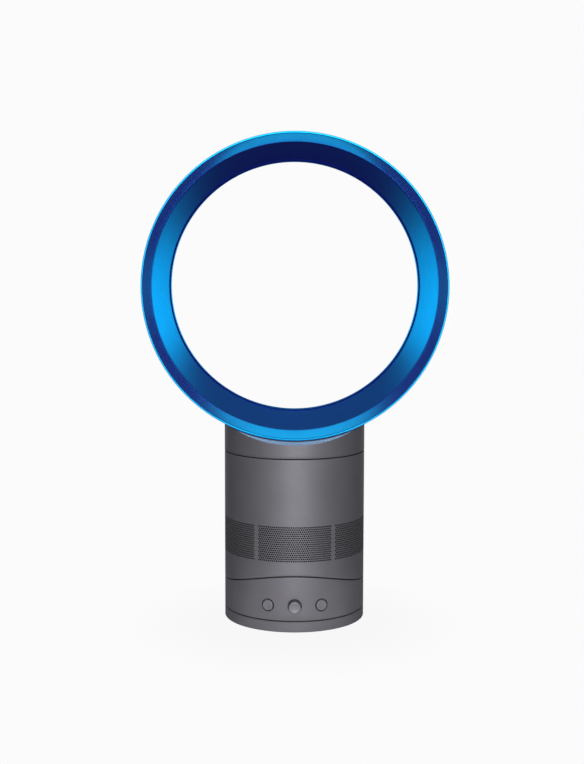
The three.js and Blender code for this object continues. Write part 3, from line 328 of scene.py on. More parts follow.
class Nodes:
    """A material's node tree, with short calls for the nodes that are used here."""

    def __init__(self, name):
        self.material = bpy.data.materials.new(name)
        self.material.use_nodes = True
        self.tree = self.material.node_tree
        self.tree.nodes.clear()
        self.out = self.tree.nodes.new("ShaderNodeOutputMaterial")
        self.place = self.tree.nodes.new("ShaderNodeTexCoord").outputs["Object"]

    def node(self, kind, inputs=(), **settings):
        return add_node(self.tree, kind, inputs, **settings)

    def stretched(self, scale):
        return self.node("ShaderNodeMapping", {"Vector": self.place, "Scale": scale}).outputs["Vector"]

    def noise(self, scale, detail=3.0, roughness=0.5, vector=None):
        return self.node("ShaderNodeTexNoise", {"Vector": vector or self.place, "Scale": scale,
                                                "Detail": detail, "Roughness": roughness}).outputs["Fac"]

    def ramp(self, fac, stops):
        node = self.node("ShaderNodeValToRGB", {"Fac": fac})
        fill_ramp(node.color_ramp, stops)
        return node.outputs["Color"]

    def span(self, value, start, end, low, high):
        return self.node("ShaderNodeMapRange", {"Value": value, "From Min": start, "From Max": end,
                                                "To Min": low, "To Max": high}).outputs["Result"]

    def spread(self, fac, low, high):
        """Spreads a noise, most of which lies between a quarter and three quarters, over a range."""
        return self.span(fac, 0.25, 0.75, low, high)

    def maths(self, operation, a, b):
        return self.node("ShaderNodeMath", {0: a, 1: b}, operation=operation).outputs[0]

    def mixed(self, share, first, second):
        """A shader between two others."""
        both = self.node("ShaderNodeMixShader", {"Fac": share})
        self.tree.links.new(first.outputs[0], both.inputs[1])
        self.tree.links.new(second.outputs[0], both.inputs[2])
        return both

    def bump(self, height, strength, distance, normal=None):
        inputs = {"Height": height, "Strength": strength, "Distance": distance}
        if normal:
            inputs["Normal"] = normal
        return self.node("ShaderNodeBump", inputs).outputs["Normal"]

    def shader(self, **inputs):
        named = {key.replace("_", " "): value for key, value in inputs.items()}
        return self.node("ShaderNodeBsdfPrincipled", named)

    def finish(self, shader):
        self.tree.links.new(shader.outputs[0], self.out.inputs["Surface"])
        return self.material


def shade(colour, factor):
    return tuple(min(1.0, c * factor) for c in colour)


def iron_paint(name, colour, roughness, grain=1.0, metal=0.5, edge=(0.30, 0.29, 0.33, 1)):
    """Satin charcoal paint with fine metal flake, a faint orange peel and slightly uneven gloss."""
    n = Nodes(name)
    flake = n.noise(2600, 2, 0.7)
    cloud = n.noise(55, 3)
    tone = n.node("ShaderNodeMix", {"Factor": 0.35, "A": flake, "B": cloud}, data_type="FLOAT")
    dark, light = shade(colour, 1 - 0.10 * grain), shade(colour, 1 + 0.14 * grain)
    paint = n.ramp(tone.outputs["Result"], [(0.30, dark), (0.55, colour), (0.75, light)])
    gloss = n.spread(n.noise(140, 4), roughness - 0.03, roughness + 0.03)
    peel = n.bump(n.noise(900, 2), 0.10, 0.00006)
    fine = n.bump(flake, 0.12 * grain, 0.00003, peel)
    return n.finish(n.shader(Base_Color=paint, Metallic=metal, Roughness=gloss, Normal=fine,
                             Specular_Tint=edge, Specular_IOR_Level=0.1))


def blue_paint(name):
    """Candy blue over metal: cyan where it faces the light, deep indigo in the shade."""
    n = Nodes(name)
    flake = n.noise(2400, 2, 0.7)
    cloud = n.noise(38, 3)
    bright = n.ramp(cloud, [(0.30, (0.0, 0.435, 0.77)), (0.60, (0.0, 0.46, 0.81)),
                            (0.80, (0.0, 0.475, 0.83))])
    deep = n.ramp(flake, [(0.30, (0.070, 0.020, 0.80)), (0.70, (0.095, 0.032, 1.0))])
    peel = n.bump(n.noise(420, 2), 0.07, 0.00008)
    fine = n.bump(flake, 0.10, 0.00003, peel)
    rough = n.spread(n.noise(120, 3), 0.22, 0.26)
    metal = n.shader(Base_Color=bright, Metallic=1.0, Roughness=rough, Normal=fine,
                     Specular_Tint=(0.0, 0.62, 1.0, 1))
    under = n.shader(Base_Color=deep, Metallic=0.0, Roughness=0.45, Normal=fine, Specular_IOR_Level=0.0)
    return n.finish(n.mixed(0.80, under, metal))


def plastic(name, colour, roughness, grain=1800, depth=0.00004):
    """Moulded plastic: fine spark-eroded grain, faint flow marks and slightly worn gloss."""
    n = Nodes(name)
    base = n.ramp(n.noise(70, 4), [(0.3, shade(colour, 0.88)), (0.55, colour), (0.8, shade(colour, 1.12))])
    texture = n.bump(n.noise(grain, 3, 0.6), 0.35, depth)
    gloss = n.spread(n.noise(160, 3), roughness - 0.06, roughness + 0.06)
    return n.finish(n.shader(Base_Color=base, Roughness=gloss, Normal=texture))


def brushed(name, colour, roughness):
    """Bare metal with turning or brushing marks along one direction."""
    n = Nodes(name)
    marks = n.noise(1, 4, 0.6, n.stretched((60, 60, 2600)))
    base = n.ramp(marks, [(0.3, shade(colour, 0.85)), (0.7, shade(colour, 1.08))])
    gloss = n.spread(marks, roughness - 0.08, roughness + 0.08)
    return n.finish(n.shader(Base_Color=base, Metallic=1.0, Roughness=gloss,
                             Normal=n.bump(marks, 0.15, 0.00005)))


def foam_sheet(name, colour):
    """Open-cell foam on a soft ground, darkest in the middle of each pore: painted shade in the pores."""
    n = Nodes(name)
    cells = n.node("ShaderNodeTexVoronoi", {"Vector": n.place, "Scale": 900.0}).outputs["Distance"]
    # Painted shade: a quarter as bright at the middle of each pore, where the bump sinks it.
    base = n.ramp(cells, [(0.05, shade(colour, 0.25)), (0.5, colour), (0.9, shade(colour, 1.3))])
    return n.finish(n.shader(Base_Color=base, Roughness=0.95, Normal=n.bump(cells, 0.9, 0.0004)))


def circuit_board(name):
    """Green solder mask with faint copper tracks under it."""
    n = Nodes(name)
    bricks = {"Vector": n.place, "Scale": 160.0, "Mortar Size": 0.08, "Mortar": (0.035, 0.16, 0.060, 1),
              "Color1": (0.010, 0.075, 0.030, 1), "Color2": (0.014, 0.10, 0.040, 1)}
    tracks = n.node("ShaderNodeTexBrick", bricks).outputs["Color"]
    return n.finish(n.shader(Base_Color=tracks, Roughness=n.spread(n.noise(300, 3), 0.28, 0.4),
                             Normal=n.bump(n.noise(700, 2), 0.2, 0.00005)))


def winding(name):
    """Enamelled copper wire, wound round the stator, darker in the grooves between the turns as painted
    shade.
    """
    n = Nodes(name)
    wire = n.node("ShaderNodeTexWave", {"Vector": n.place, "Scale": 420.0, "Distortion": 1.2, "Detail": 2.0},
                  bands_direction="Z").outputs["Fac"]
    # Painted shade: the wave's troughs, the grooves between the turns, take the darkest colour.
    base = n.ramp(wire, [(0.1, (0.14, 0.035, 0.010)), (0.6, (0.42, 0.14, 0.045)), (0.95, (0.60, 0.26, 0.10))])
    return n.finish(n.shader(Base_Color=base, Metallic=0.8, Roughness=0.35, Normal=n.bump(wire, 0.6, 0.0003)))


IRON = iron_paint("iron_paint", (0.205, 0.200, 0.222), 0.46)
IRON_FACE = iron_paint("control_face_paint", (0.235, 0.230, 0.255), 0.42, 0.7)
# Painted reflection: the collar's land has the same charcoal paint as the rest, and this pale lavender stands
# in for the bright light it mirrors at a grazing angle.
SADDLE_PAINTED_REFLECTION = iron_paint("saddle_painted_reflection", (0.84, 0.84, 0.90), 0.34, 0.25, 0.35, (1, 1, 1, 1))
BLUE = blue_paint("blue_paint")
DARK = plastic("dark_plastic", (0.018, 0.018, 0.020), 0.5)
# Painted shade: near-black, darker than the dark plastic, for the casings' inner faces and the walls of their
# holes, so that the inside reads as shadow.
INSIDE_PAINTED_SHADE = plastic("skin_inside_painted_shade", (0.006, 0.006, 0.007), 0.7)
# Painted shade: near-black, darker than the rubber, for the sheet behind the holes, where the body's inside
# lies in shadow.
GAUZE_PAINTED_SHADE = plastic("intake_gauze_painted_shade", (0.004, 0.004, 0.005), 0.85, 3200, 0.0001)
GREY = plastic("grey_plastic", (0.17, 0.17, 0.18), 0.5)
WHITE = plastic("white_plastic", (0.62, 0.61, 0.58), 0.42)
RUBBER = plastic("black_rubber", (0.010, 0.010, 0.011), 0.78, 1100, 0.00012)
FOAM = foam_sheet("silencer_foam_sheet", (0.045, 0.045, 0.048))
STEEL = brushed("zinc_steel", (0.56, 0.57, 0.60), 0.32)
MOTOR_IRON = brushed("motor_iron_metal", (0.30, 0.30, 0.32), 0.4)
BRASS = brushed("machined_brass", (0.60, 0.42, 0.16), 0.28)
CIRCUIT = circuit_board("circuit_green")
COPPER = winding("copper_winding")

# The CAD nodes that stay, by the finish that they get. A name stands for every node that starts with it.
KEPT = [
    (RUBBER, "foot_pad cable_gland isolation_ring housing_seal"),
    (WHITE, "thrust_bearing fixed_gear hub_washer glide_strip"),
    (STEEL, "gear_screw turntable_screw rail_screw bearing_lower bearing_upper motor_shaft motor_bracket"),
    (MOTOR_IRON, "swing_motor rotor_magnet"),
    (BRASS, "drive_pinion"),
    (COPPER, "motor_stator"),
    (GREY, "turntable tilt_rail board_bracket body_floor partition_plate bucket_retainer support_ring"),
    (GREY, "bucket_lower bucket_upper bayonet_ring"),
    (DARK, "power_switch oscillation_switch dial_encoder impeller inlet_bellmouth diffuser_vanes air_duct"),
    (CIRCUIT, "control_board main_board"),
    (FOAM, "silencer_foam"),
]
FINISHES = {key: material for material, keys in KEPT for key in keys.split()}


def dress_frame():
    """Gives each carried-over CAD node its finish: the longest matching name wins."""
    for name, node in frame["nodes"].items():
        keys = [key for key in FINISHES if name.startswith(key)]
        material = FINISHES[max(keys, key=len)] if keys else IRON
        node.data.materials.clear()
        node.data.materials.append(material)


# ---------------------------------------------------------------- casings

def foot():
    """The lowest casing: rounded edge, pad groove, post and spigot, and the inlet's hole at the back."""
    columns = even(240)
    steps, block, hole_r = 8, 3.45, 3.2
    levels = [GLAND_Z + block * (2 * k / steps - 1) for k in range(steps + 1)]
    lower = arc((BODY_R - FOOT_EDGE, FOOT_BOTTOM + FOOT_EDGE), FOOT_EDGE, -90, 0, 6)
    upper = arc((BODY_R - 0.8, FOOT_TOP - 0.6), (0.8, 0.6), 0, 90, 4)
    outer = lower + [(BODY_R, z) for z in levels] + upper
    first = len(lower)
    inside = [(CASING_INNER, FOOT_TOP)] + [(CASING_INNER, z) for z in reversed(levels)]
    mirror = first + len(outer) + 1 + steps
    floor_z, shelf, shelf_z = 3.3, (50, 58), 7.3
    post_r, shoulder, spigot_r, spigot_top, screw_r, screw_end = 9, 14.5, 5.8, 19.5, 1.5, 10.5
    groove_z, groove_side = PAD_TOP + 0.3, 0.3
    dish = [(CASING_INNER, 3.5), (shelf[1], floor_z), (shelf[1], shelf_z), (shelf[0], shelf_z),
            (shelf[0], floor_z)]
    post = [(post_r, floor_z), (post_r, shoulder), (spigot_r, shoulder), (spigot_r, spigot_top),
            (screw_r, spigot_top), (screw_r, screw_end), (0, screw_end), (0, PAD_PROUD)]
    groove = [(PAD_INNER - groove_side, PAD_PROUD), (PAD_INNER - groove_side, groove_z),
              (PAD_OUTER + groove_side, groove_z), (PAD_OUTER + groove_side, FOOT_BOTTOM)]
    skin = Skin(outer + inside + dish + post + groove, columns)
    back = len(columns) // 2
    skin.pierce(back - 2, back + 2, (first, first + steps), mirror, 180, GLAND_Z, hole_r)
    # The inner faces take the near-black painted shade.
    skin.build("foot_casing", "foot", [IRON, INSIDE_PAINTED_SHADE], replaces=["foot_shell"])


def foot_pad():
    """A ribbed rubber ring, proud of the foot's underside."""
    steps, rib = 24, 0.35
    ribs = [(PAD_INNER + (PAD_OUTER - PAD_INNER) * k / steps, rib * (k % 2)) for k in range(1, steps)]
    side = 0.3
    section = [(PAD_OUTER, side), (PAD_OUTER, PAD_TOP), (PAD_INNER, PAD_TOP), (PAD_INNER, side)] + ribs
    Skin(section, even(160)).build("foot_pad_ribbed", "foot", [RUBBER], replaces=["foot_pad"])


def gland():
    """The mains inlet's rubber grommet, with strain-relief rings on its stub."""
    bore, neck, lip = 2.1, 2.9, 3.5
    inner, end = CASING_INNER - 0.3, BODY_R + 5
    stub = [(neck, BODY_R + 0.3), (lip, BODY_R + 0.3), (lip, BODY_R + 0.9)]
    for k in range(4):
        z = BODY_R + 1.2 + 0.9 * k
        stub += [(2.75, z), (2.75, z + 0.3), (3.3, z + 0.35), (3.3, z + 0.75)]
    section = [(bore, inner - 1.5), (lip, inner - 1.5), (lip, inner - 0.6), (neck, inner - 0.6)] + stub
    skin = Skin(section + [(2.6, end), (bore, end)], even(48))
    skin.build("inlet_grommet", "foot", [RUBBER], facing(180, GLAND_Z), ["cable_gland"])


def control_casing():
    """The section that swings on the foot: three openings for the controls and a curved upper edge."""
    step, half, rest_steps = 12, 7.9, 150
    bevel, rim_z, flange_r, flange_top = 0.25, 40.0, 60.7, CONTROL_BOTTOM + 2.2
    block = [math.degrees(half / BODY_R) * (2 * k / step - 1) for k in range(step + 1)]
    fine = [spot + a for spot in BUTTON_ANGLES for a in block]
    reach = fine[-1]
    rest = [reach + (360 - 2 * reach) * k / rest_steps for k in range(1, rest_steps)]
    columns = fine + rest
    levels = [BUTTON_Z + half * (2 * k / step - 1) for k in range(step + 1)]
    lower = [(BODY_R - back, CONTROL_BOTTOM + lift) for back, lift in ((0.5, 0.0), (0.15, 0.15), (0.0, 0.5))]
    outer = lower + [(BODY_R, z) for z in levels]
    n = len(outer)
    edge = [(0.0, -1.5), (0.0, -0.9), (0.08, -0.55), (0.3, -0.25), (0.7, -0.05), (1.0, 0.0)]
    top = [(BODY_R - back, rim_z + lift) for back, lift in edge]
    bend = {n + k: seam_height(DECK_R, lift) for k, (_, lift) in enumerate(edge)}
    inside = [(CASING_INNER, rim_z)] + [(CASING_INNER, z) for z in reversed(levels)]
    bend[n + len(top)] = seam_height(DECK_R)
    first = len(lower)
    mirror = first + n + len(top) + 1 + step
    floor = [(CASING_INNER, flange_top), (flange_r, flange_top), (flange_r, CONTROL_BOTTOM)]
    skin = Skin(outer + top + inside + floor, columns, bend)
    for k, angle in enumerate(BUTTON_ANGLES):
        c0 = k * (step + 1)
        opening = DIAL_OPENING_R if angle == 0 else KEY_OPENING_R
        skin.pierce(c0, c0 + step, (first, first + step), mirror, angle, BUTTON_Z, opening, bevel)
    # The inner faces and the openings' walls take the near-black painted shade.
    skin.build("control_casing", "control_section", [IRON, INSIDE_PAINTED_SHADE], replaces=["control_housing"])


def deck():
    """The curved plate that closes the control section and carries the body, slotted for the cable."""
    across, along = 36, 48
    verts, faces = [], []
    inner_r, outer_r, inset = 175.75, DECK_R + 0.02, 0.9995
    slot_half = (2, 3)  # of the cable's slot, in cells

    def spot(u, v, radius):
        x = CASING_INNER * u
        y = math.sqrt(max(0.0, CASING_INNER ** 2 - x ** 2)) * v
        return (x * MM, y * MM, (TILT_Z - math.sqrt(radius ** 2 - y ** 2)) * MM)

    for radius in (outer_r, inner_r):
        for i in range(across + 1):
            u = math.sin(math.pi / 2 * (2 * i / across - 1))
            for j in range(along + 1):
                verts.append(spot(u * inset, 2 * j / along - 1, radius))
    row, layer = along + 1, (across + 1) * (along + 1)
    slot = {(i, j) for i in range(across) for j in range(along)
            if abs(i - across / 2 + 0.5) < slot_half[0] and abs(j - along / 2 + 0.5) < slot_half[1]}
    for i in range(across):
        for j in range(along):
            if (i, j) in slot:
                continue
            a, b, c, d = i * row + j, (i + 1) * row + j, (i + 1) * row + j + 1, i * row + j + 1
            faces.append((a, b, c, d))
            faces.append((d + layer, c + layer, b + layer, a + layer))
            sides = (((d, a), (-1, 0)), ((b, c), (1, 0)), ((a, b), (0, -1)), ((c, d), (0, 1)))
            for (p, q), (di, dj) in sides:
                if (i + di, j + dj) in slot or not (0 <= i + di < across and 0 <= j + dj < along):
                    faces.append((q, p, p + layer, q + layer))
    mesh = shell_mesh("control_deck", verts, faces, [DARK], 35)
    add_piece("control_deck", mesh, "control_section")


def body_casing():
    """The tilting body in one skin, with about 3350 round holes in six panels and a curved lower edge."""
    columns, starts = [], []
    for k, (centre, cells, pitch) in enumerate(PANELS):
        starts.append(len(columns))
        edge = centre - cells * pitch / 2
        columns += [edge + pitch * h / 2 for h in range(2 * cells + 1)]
        after, after_cells, after_pitch = PANELS[(k + 1) % len(PANELS)]
        after_edge = after - after_cells * after_pitch / 2 + (360 if k == len(PANELS) - 1 else 0)
        gap = after_edge - columns[-1]
        columns += [columns[-1] + gap * h / 3 for h in (1, 2)]
    bottom_z = FIRST_ROW_Z - ROW_PITCH / 2
    levels = [bottom_z + ROW_PITCH / 2 * k for k in range(2 * ROWS + 1)]
    edge = [(0.55, 0.0), (0.15, 0.17), (0.0, 0.55), (0.0, 1.6)]
    lower = [(BODY_R - back, 60.0 + lift) for back, lift in edge] + [(BODY_R, 66.0)]
    bend = {k: seam_height(FLOOR_R, lift) for k, (_, lift) in enumerate(edge)}
    upper = [(BODY_R, z) for z in (108.5, 118.0, 135.0, 155.0, BODY_TOP - 1.6, BODY_TOP - 0.5)]
    upper += [(BODY_R - back, BODY_TOP - drop) for back, drop in ((0.15, 0.2), (0.5, 0.03), (0.9, 0.0))]
    first = len(lower)
    outer = lower + [(BODY_R, z) for z in levels] + upper
    n = len(outer)
    inside = [(SKIN_INNER, z) for _, z in reversed(outer)]
    for k, (_, lift) in enumerate(edge):
        bend[2 * n - 1 - k] = seam_height(FLOOR_R, lift)
    skin = Skin(outer + inside, columns, bend)
    mirror = 2 * n - 1
    for (centre, cells, pitch), start in zip(PANELS, starts):
        for row in range(ROWS):
            shift = row % 2
            rows = (first + 2 * row, first + 2 * row + 2)
            for k in range(cells - shift):
                c0 = start + 2 * k + shift
                angle = centre + (k + 0.5 + shift / 2 - cells / 2) * pitch
                skin.pierce(c0, c0 + 2, rows, mirror, angle, FIRST_ROW_Z + row * ROW_PITCH, HOLE_R)
    screens = ["intake_screen_" + side for side in
               ("front", "front_right", "rear_right", "rear", "rear_left", "front_left")]
    # The inner faces and the hole walls take the near-black painted shade.
    skin.build("body_casing", "fan_body", [IRON, INSIDE_PAINTED_SHADE],
               marks=[0] * (n - 1) + [1] * n + [0], replaces=["body_shell"] + screens)


def intake_gauze_painted_shade():
    """A thin sheet close behind the perforated band, drawn as a fine rippled gauze and coloured near-black as
    painted shade, so that the holes look into the dark.
    """
    low, high = FIRST_ROW_Z - 1.6, FIRST_ROW_Z + ROWS * ROW_PITCH - 0.4
    outer_r, inner_r, ripple, ripples = 69.9, 69.5, 0.12, 40
    outer = [(outer_r + ripple * (k % 2), low + (high - low) * k / ripples) for k in range(ripples + 1)]
    section = outer + [(inner_r, high), (inner_r, low)]
    Skin(section, even(160)).build("intake_gauze_painted_shade", "fan_body", [GAUZE_PAINTED_SHADE])


def collar():
    """The body's cylinder carried up to the saddle that the air ring lies in, its land coloured pale as
    painted reflection.
    """
    count = 256
    columns = even(count)
    duct_x, duct_y, corner = 39.3, 26.3, 24.3  # half sizes of the duct's opening, and its corner radius
    under_r, wall = 156.0, 2.2

    def duct_radius(a):
        """Distance from the axis to the duct's rounded outline, at an angle."""
        dx, dy = abs(math.sin(a)), abs(math.cos(a))
        cx, cy = duct_x - corner, duct_y - corner
        if dx * duct_y > dy * duct_x and dy * duct_x / max(dx, 1e-9) <= cy:
            return duct_x / dx
        if dy * duct_x > dx * duct_y and dx * duct_y / max(dy, 1e-9) <= cx:
            return duct_y / dy
        along = cx * dx + cy * dy
        return along + math.sqrt(max(0.0, along ** 2 - (cx ** 2 + cy ** 2 - corner ** 2)))

    section, place = [], []

    def add(share, drop, radius, z=None):
        """A section point: share 0 is the outer wall less drop, and 1 is the duct's opening."""
        section.append((BODY_R - 30 * share - drop, z if z is not None else 100 + radius / 100))
        place.append((share, drop, radius, z))

    low = COLLAR_BOTTOM
    add(0, 0.5, 0, low)
    add(0, 0.15, 0, low + 0.15)
    add(0, 0, 0, low + 0.5)
    add(0, 0, 0, low + 3)
    for drop, lift in ((0, -1.6), (0, -0.6), (0.15, -0.2), (0.6, 0.0)):
        add(0, drop, SADDLE_R - lift)
    land = len(section) - 1
    for share in (0.06, 0.15, 0.3, 0.5, 0.75, 1.0):
        add(share, 0, SADDLE_R)
    land_end = len(section) - 1
    for share in (1.0, 0.6, 0.3, 0.12):
        add(share, 0, under_r)
    add(0, wall, under_r)
    add(0, wall, 0, low)

    verts, faces, turned = [], [], len(section)
    for a in (math.radians(c) for c in columns):
        inner = duct_radius(a)
        for share, drop, radius, z in place:
            r = (BODY_R - drop) * (1 - share) + inner * share
            x = r * math.sin(a)
            height = z if z is not None else RING_Z - math.sqrt(radius ** 2 - x ** 2)
            verts.append((x * MM, -r * math.cos(a) * MM, height * MM))
    for j in range(count):
        m = (j + 1) % count
        for i in range(turned):
            k = (i + 1) % turned
            faces.append((j * turned + i, m * turned + i, m * turned + k, j * turned + k))
    mesh = shell_mesh("collar_casing", verts, faces, [IRON, SADDLE_PAINTED_REFLECTION], 40)
    # The land's faces take the pale painted reflection, the rest the charcoal paint.
    pale = [int(land <= k % turned < land_end) for k in range(len(mesh.polygons))]
    mesh.polygons.foreach_set("material_index", pale)
    add_piece("collar_casing", mesh, "air_ring", ["collar"])


# ---------------------------------------------------------------- controls

def stem(radius, back):
    """A control's stem, and the rim that keeps it from falling out."""
    return [(0, back), (radius, back), (radius, RIM_BACK), (RIM_R, RIM_BACK), (RIM_R, RIM_FRONT)]


def push_button(name, angle, body, node):
    """A round key with a softly rounded edge and a shallow dish."""
    face, round_r, depth = BODY_R + 1.2, 1.1, 0.25
    middle = KEY_R - round_r
    dish = [(middle * share, face - depth + depth * share ** 2) for share in (0.9, 0.75, 0.5, 0.25)]
    section = stem(2, 64.9) + [(KEY_R, RIM_FRONT), (KEY_R, face - round_r - 0.1)]
    section += arc((middle, face - round_r), round_r, 8, 84, 6) + dish + [(0, face - depth)]
    Skin(section, even(72)).build(name, body, [IRON_FACE], facing(angle, BUTTON_Z), [node])


def speed_dial():
    """The turned knob between the keys, with a flat face and a rounded rim."""
    face, round_r, dip = BODY_R + 7, 1.45, 0.16
    middle = DIAL_R - round_r
    section = stem(3, 64.3) + [(DIAL_R, RIM_FRONT), (DIAL_R, face - 1.7)]
    section += arc((middle, face - round_r), (round_r, 1.35), 8, 78, 7)
    section += [(middle - 0.15, face - 0.1), (middle - 0.3, face - dip), (0, face - dip)]
    skin = Skin(section, even(96))
    skin.build("dial_knob", "dial", [IRON_FACE], facing(0, BUTTON_Z), ["speed_dial"])


# ---------------------------------------------------------------- air ring

def ring_outer():
    """The outer shell: thin front edge, tapered outside, rounded back that ends in the slot's lip."""
    crown_r, rear, depth, wall = 151.6, 30.0, 14.0, 1.7
    middle, half = (crown_r + THROAT_R) / 2, (crown_r - THROAT_R) / 2
    taper, length, steps = 0.9, 73.4, 6
    # a section turned about Z has the ring's front at its low end
    front = [(r, RING_FRONT + back) for r, back in ((150.8, 0.25), (151.05, 0.0), (152.2, 0.0), (152.42, 0.1),
                                                    (RING_R, 0.35))]
    side = [(RING_R - taper * (k / steps), RING_FRONT + 0.35 + length * k / steps) for k in range(1, steps)]
    outside = arc((middle, rear), (half, depth), 0, 180, 28)
    lip = [(THROAT_R + dr, y) for dr, y in ((0.05, 28), (0.25, 26), (0.5, 24.8), (0.6, 24.65), (0.72, 24.75),
                                            (0.85, 25.5), (1.0, 27), (1.5, 29))]
    inside = arc((middle, rear), (half - wall, depth - wall), 180, 0, 20)
    Skin(front + side + outside + lip + inside, even(320)).build(
        "ring_outer_casing", "air_ring", [BLUE], ALONG_RING, ["ring_outer_shell"])


def ring_inner():
    """The bevel, the cone that the air clings to, and the rounded edge beside the slot."""
    bevel = [(150.45, -43.62), (150.1, -43.35), (143.15, -37.05), (142.9, -36.75), (142.7, -36.2)]
    nose = arc((NOSE_AT, 25.5), NOSE_R, 193, 20, 15)
    (start_r, start_y), (end_r, end_y) = bevel[-1], nose[0]
    steps, fall, curve = 16, start_r - end_r, 0.10
    shares = [k / steps for k in range(1, steps)]
    cone = [(start_r - fall * share * (1 - curve + curve * share), start_y + (end_y - start_y) * share)
            for share in shares]
    back = [(139.0, -5.7), (144.6, -34.6), (150.45, -41.8)]
    # the points run up the inside, so they are turned the other way for outward faces
    Skin(list(reversed(bevel + cone + nose + back)), even(320)).build(
        "ring_inner_casing", "air_ring", [BLUE], ALONG_RING, ["ring_inner_shell"])


# ---------------------------------------------------------------- floor, light and camera

BACKGROUND = 0.965
FLOOR_Y = -0.03  # the middle of the table top's disc
# How bright the studio is, by how far a direction points to the front (1) or the back (-1)
STUDIO = [(-0.2, 0.0), (0.1, 0.0), (0.4, 0.08), (0.6, 0.25), (0.78, 0.58), (0.9, 1.0), (0.97, 1.3),
          (1.0, 1.35)]
STUDIO_TOP = 2.0  # the ramp holds levels as a share of this
CEILING = 1.05
SIDES = 0.13
BEHIND = 0.11
STRIPS = 1.68
AMBIENT = 0.015
KEY_PLACE, KEY_AIM, KEY_SIZE, KEY_POWER = (0.10, -2.3, 0.55), (0, 0, 0.25), (1.3, 1.6), 16


def floor():
    """A pale round table top. It melts into the background away from the object, and keeps its shadow."""
    count = 96
    rings = [0.05, 0.1, 0.14, 0.18, 0.205]
    turns = [2 * math.pi * k / count for k in range(count)]
    verts = [(0, FLOOR_Y, 0)]
    verts += [(r * math.cos(t), FLOOR_Y + r * math.sin(t), 0) for r in rings for t in turns]
    faces = [(0, 1 + k, 1 + (k + 1) % count) for k in range(count)]
    for ring in range(len(rings) - 1):
        a, b = 1 + ring * count, 1 + (ring + 1) * count
        faces += [(a + k, b + k, b + (k + 1) % count, a + (k + 1) % count) for k in range(count)]
    mesh = bpy.data.meshes.new("studio_floor")
    mesh.from_pydata(verts, [], faces)
    piece = bpy.data.objects.new("studio_floor", mesh)
    bpy.context.scene.collection.objects.link(piece)
    mesh.materials.append(floor_finish())


def floor_finish():
    """Pale matt paint. Where it is seen it glows as the background does, the more so away from the object."""
    n = Nodes("studio_floor")
    pale = n.ramp(n.noise(8, 3), [(0.3, (0.50, 0.50, 0.50)), (0.7, (0.53, 0.53, 0.53))])
    matt = n.shader(Base_Color=pale, Roughness=0.9, Normal=n.bump(n.noise(300, 3), 0.05, 0.0002),
                    Specular_IOR_Level=0.0)
    glow = n.node("ShaderNodeEmission", {"Color": (BACKGROUND, BACKGROUND, BACKGROUND, 1), "Strength": 1.0})
    path = n.node("ShaderNodeLightPath").outputs
    away = n.node("ShaderNodeVectorMath", {0: n.place, 1: (0, FLOOR_Y, 0)}, operation="DISTANCE")
    seen = n.maths("MAXIMUM", path["Is Camera Ray"], path["Is Transmission Ray"])
    seen = n.maths("MULTIPLY", seen, n.span(away.outputs["Value"], 0.08, 0.19, 0.95, 1.0))
    # the object mirrors the part in front of it most
    depth = n.node("ShaderNodeSeparateXYZ", {"Vector": n.place}).outputs["Y"]
    mirrored = n.maths("MULTIPLY", path["Is Glossy Ray"], n.span(depth, -0.03, -0.08, 0.25, 1.0))
    return n.finish(n.mixed(n.maths("MAXIMUM", seen, mirrored), matt, glow))


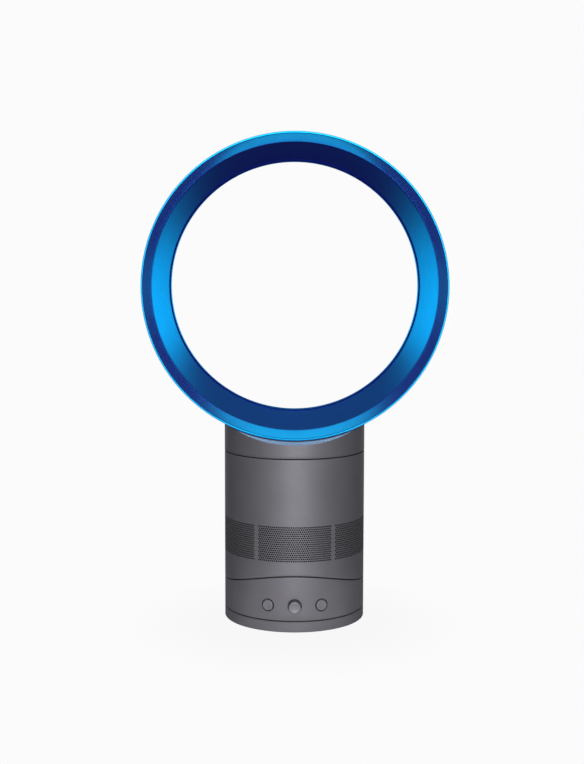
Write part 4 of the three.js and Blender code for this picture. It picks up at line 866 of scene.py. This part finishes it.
def world():
    """White where the camera looks; for the rest a plain studio, bright in front and dim behind."""
    scene = bpy.context.scene
    scene.world = bpy.data.worlds.new("studio")
    scene.world.use_nodes = True
    tree = scene.world.node_tree
    tree.nodes.clear()

    def node(kind, inputs=(), **settings):
        return add_node(tree, kind, inputs, **settings)

    def step(value, start, end):
        return node("ShaderNodeMapRange", {"Value": value, "From Min": start, "From Max": end},
                    interpolation_type="SMOOTHSTEP").outputs[0]

    def blend(factor, a, b):
        return node("ShaderNodeMix", {"Factor": factor, "A": a, "B": b}, data_type="FLOAT").outputs["Result"]

    def maths(operation, first, *rest):
        for value in rest:
            first = node("ShaderNodeMath", {0: first, 1: value}, operation=operation).outputs[0]
        return first

    split = node("ShaderNodeSeparateXYZ", {"Vector": node("ShaderNodeTexCoord").outputs["Generated"]})
    x, y, z = (split.outputs[axis] for axis in "XYZ")
    wide, high = (node("ShaderNodeMath", {0: axis}, operation="ABSOLUTE").outputs[0] for axis in (x, z))
    back = step(y, 0.45, 0.75)
    front = node("ShaderNodeMapRange", {"Value": y, "From Min": 1.0, "From Max": -1.0}).outputs[0]
    ramp = node("ShaderNodeValToRGB", {"Fac": front})
    fill_ramp(ramp.color_ramp, [((at + 1) / 2, (level / STUDIO_TOP,) * 3) for at, level in STUDIO])
    ceiling = step(z, 0.74, 0.95)
    sides = maths("MULTIPLY", step(high, 0.34, 0.04), step(wide, 0.55, 0.85))
    behind = maths("MULTIPLY", step(z, -0.42, -0.28), back)
    # a tall light panel behind each side, which the ring's inside mirrors
    strips = maths("MULTIPLY", step(wide, 0.16, 0.28), step(wide, 0.68, 0.46), step(z, -0.34, 0.04),
                   step(z, 0.33, 0.10), back)
    level = maths("MULTIPLY", ramp.outputs["Color"], STUDIO_TOP)
    for light, strength in ((ceiling, CEILING), (sides, SIDES), (behind, BEHIND), (strips, STRIPS)):
        level = maths("ADD", level, maths("MULTIPLY", light, strength))
    level = maths("ADD", level, AMBIENT)
    window = maths("MULTIPLY", step(wide, 0.20, 0.14), step(high, 0.20, 0.14), back)
    level = blend(window, level, BACKGROUND)
    path = node("ShaderNodeLightPath").outputs
    seen = maths("MAXIMUM", path["Is Camera Ray"], path["Is Transmission Ray"])
    sky = node("ShaderNodeBackground", {"Strength": blend(seen, level, BACKGROUND), "Color": (1, 1, 1, 1)})
    tree.links.new(sky.outputs[0], node("ShaderNodeOutputWorld").inputs["Surface"])


def camera():
    """The photograph's camera: a pinhole fit, for a picture 764 pixels high."""
    high, focal, half_pixel = 764, 1242.2, 0.5
    pitch, yaw, roll = 0.0940, 0.0053, -0.0019
    place = (-8.947, -1272.80, 362.29)
    sensor = 36
    data = bpy.data.cameras.new("camera")
    data.sensor_fit = "AUTO"
    data.sensor_width = sensor
    data.lens = focal / high * sensor
    data.clip_start, data.clip_end = 0.05, 50
    data.shift_x, data.shift_y = -half_pixel / high, half_pixel / high
    eye = bpy.data.objects.new("camera", data)
    bpy.context.scene.collection.objects.link(eye)
    forward = Vector((math.sin(yaw) * math.cos(pitch), math.cos(yaw) * math.cos(pitch), -math.sin(pitch)))
    right = Vector((math.cos(yaw), -math.sin(yaw), 0))
    down = forward.cross(right)
    across = math.cos(roll) * right + math.sin(roll) * down
    along = -math.sin(roll) * right + math.cos(roll) * down
    turn = Matrix((across, -along, -forward)).transposed()
    eye.matrix_world = Matrix.Translation(Vector(place) * MM) @ turn.to_4x4()
    bpy.context.scene.camera = eye


def key_light():
    """One large soft lamp, in front and a little above."""
    data = bpy.data.lights.new("key_front", "AREA")
    data.shape = "RECTANGLE"
    data.size, data.size_y = KEY_SIZE
    data.energy = KEY_POWER
    light = bpy.data.objects.new("key_front", data)
    light.location = KEY_PLACE
    light.rotation_euler = (Vector(KEY_AIM) - Vector(KEY_PLACE)).to_track_quat("-Z", "Y").to_euler()
    light.visible_camera = False
    bpy.context.scene.collection.objects.link(light)


# ---------------------------------------------------------------- everything together

camera()
dress_frame()
foot()
foot_pad()
gland()
control_casing()
deck()
body_casing()
intake_gauze_painted_shade()
collar()
push_button("power_key_cap", -BUTTON_SPREAD, "power_key", "power_button")
push_button("oscillation_key_cap", BUTTON_SPREAD, "oscillation_key", "oscillation_button")
speed_dial()
ring_outer()
ring_inner()
floor()
world()
key_light()
bpy.context.scene.view_settings.view_transform = "Standard"
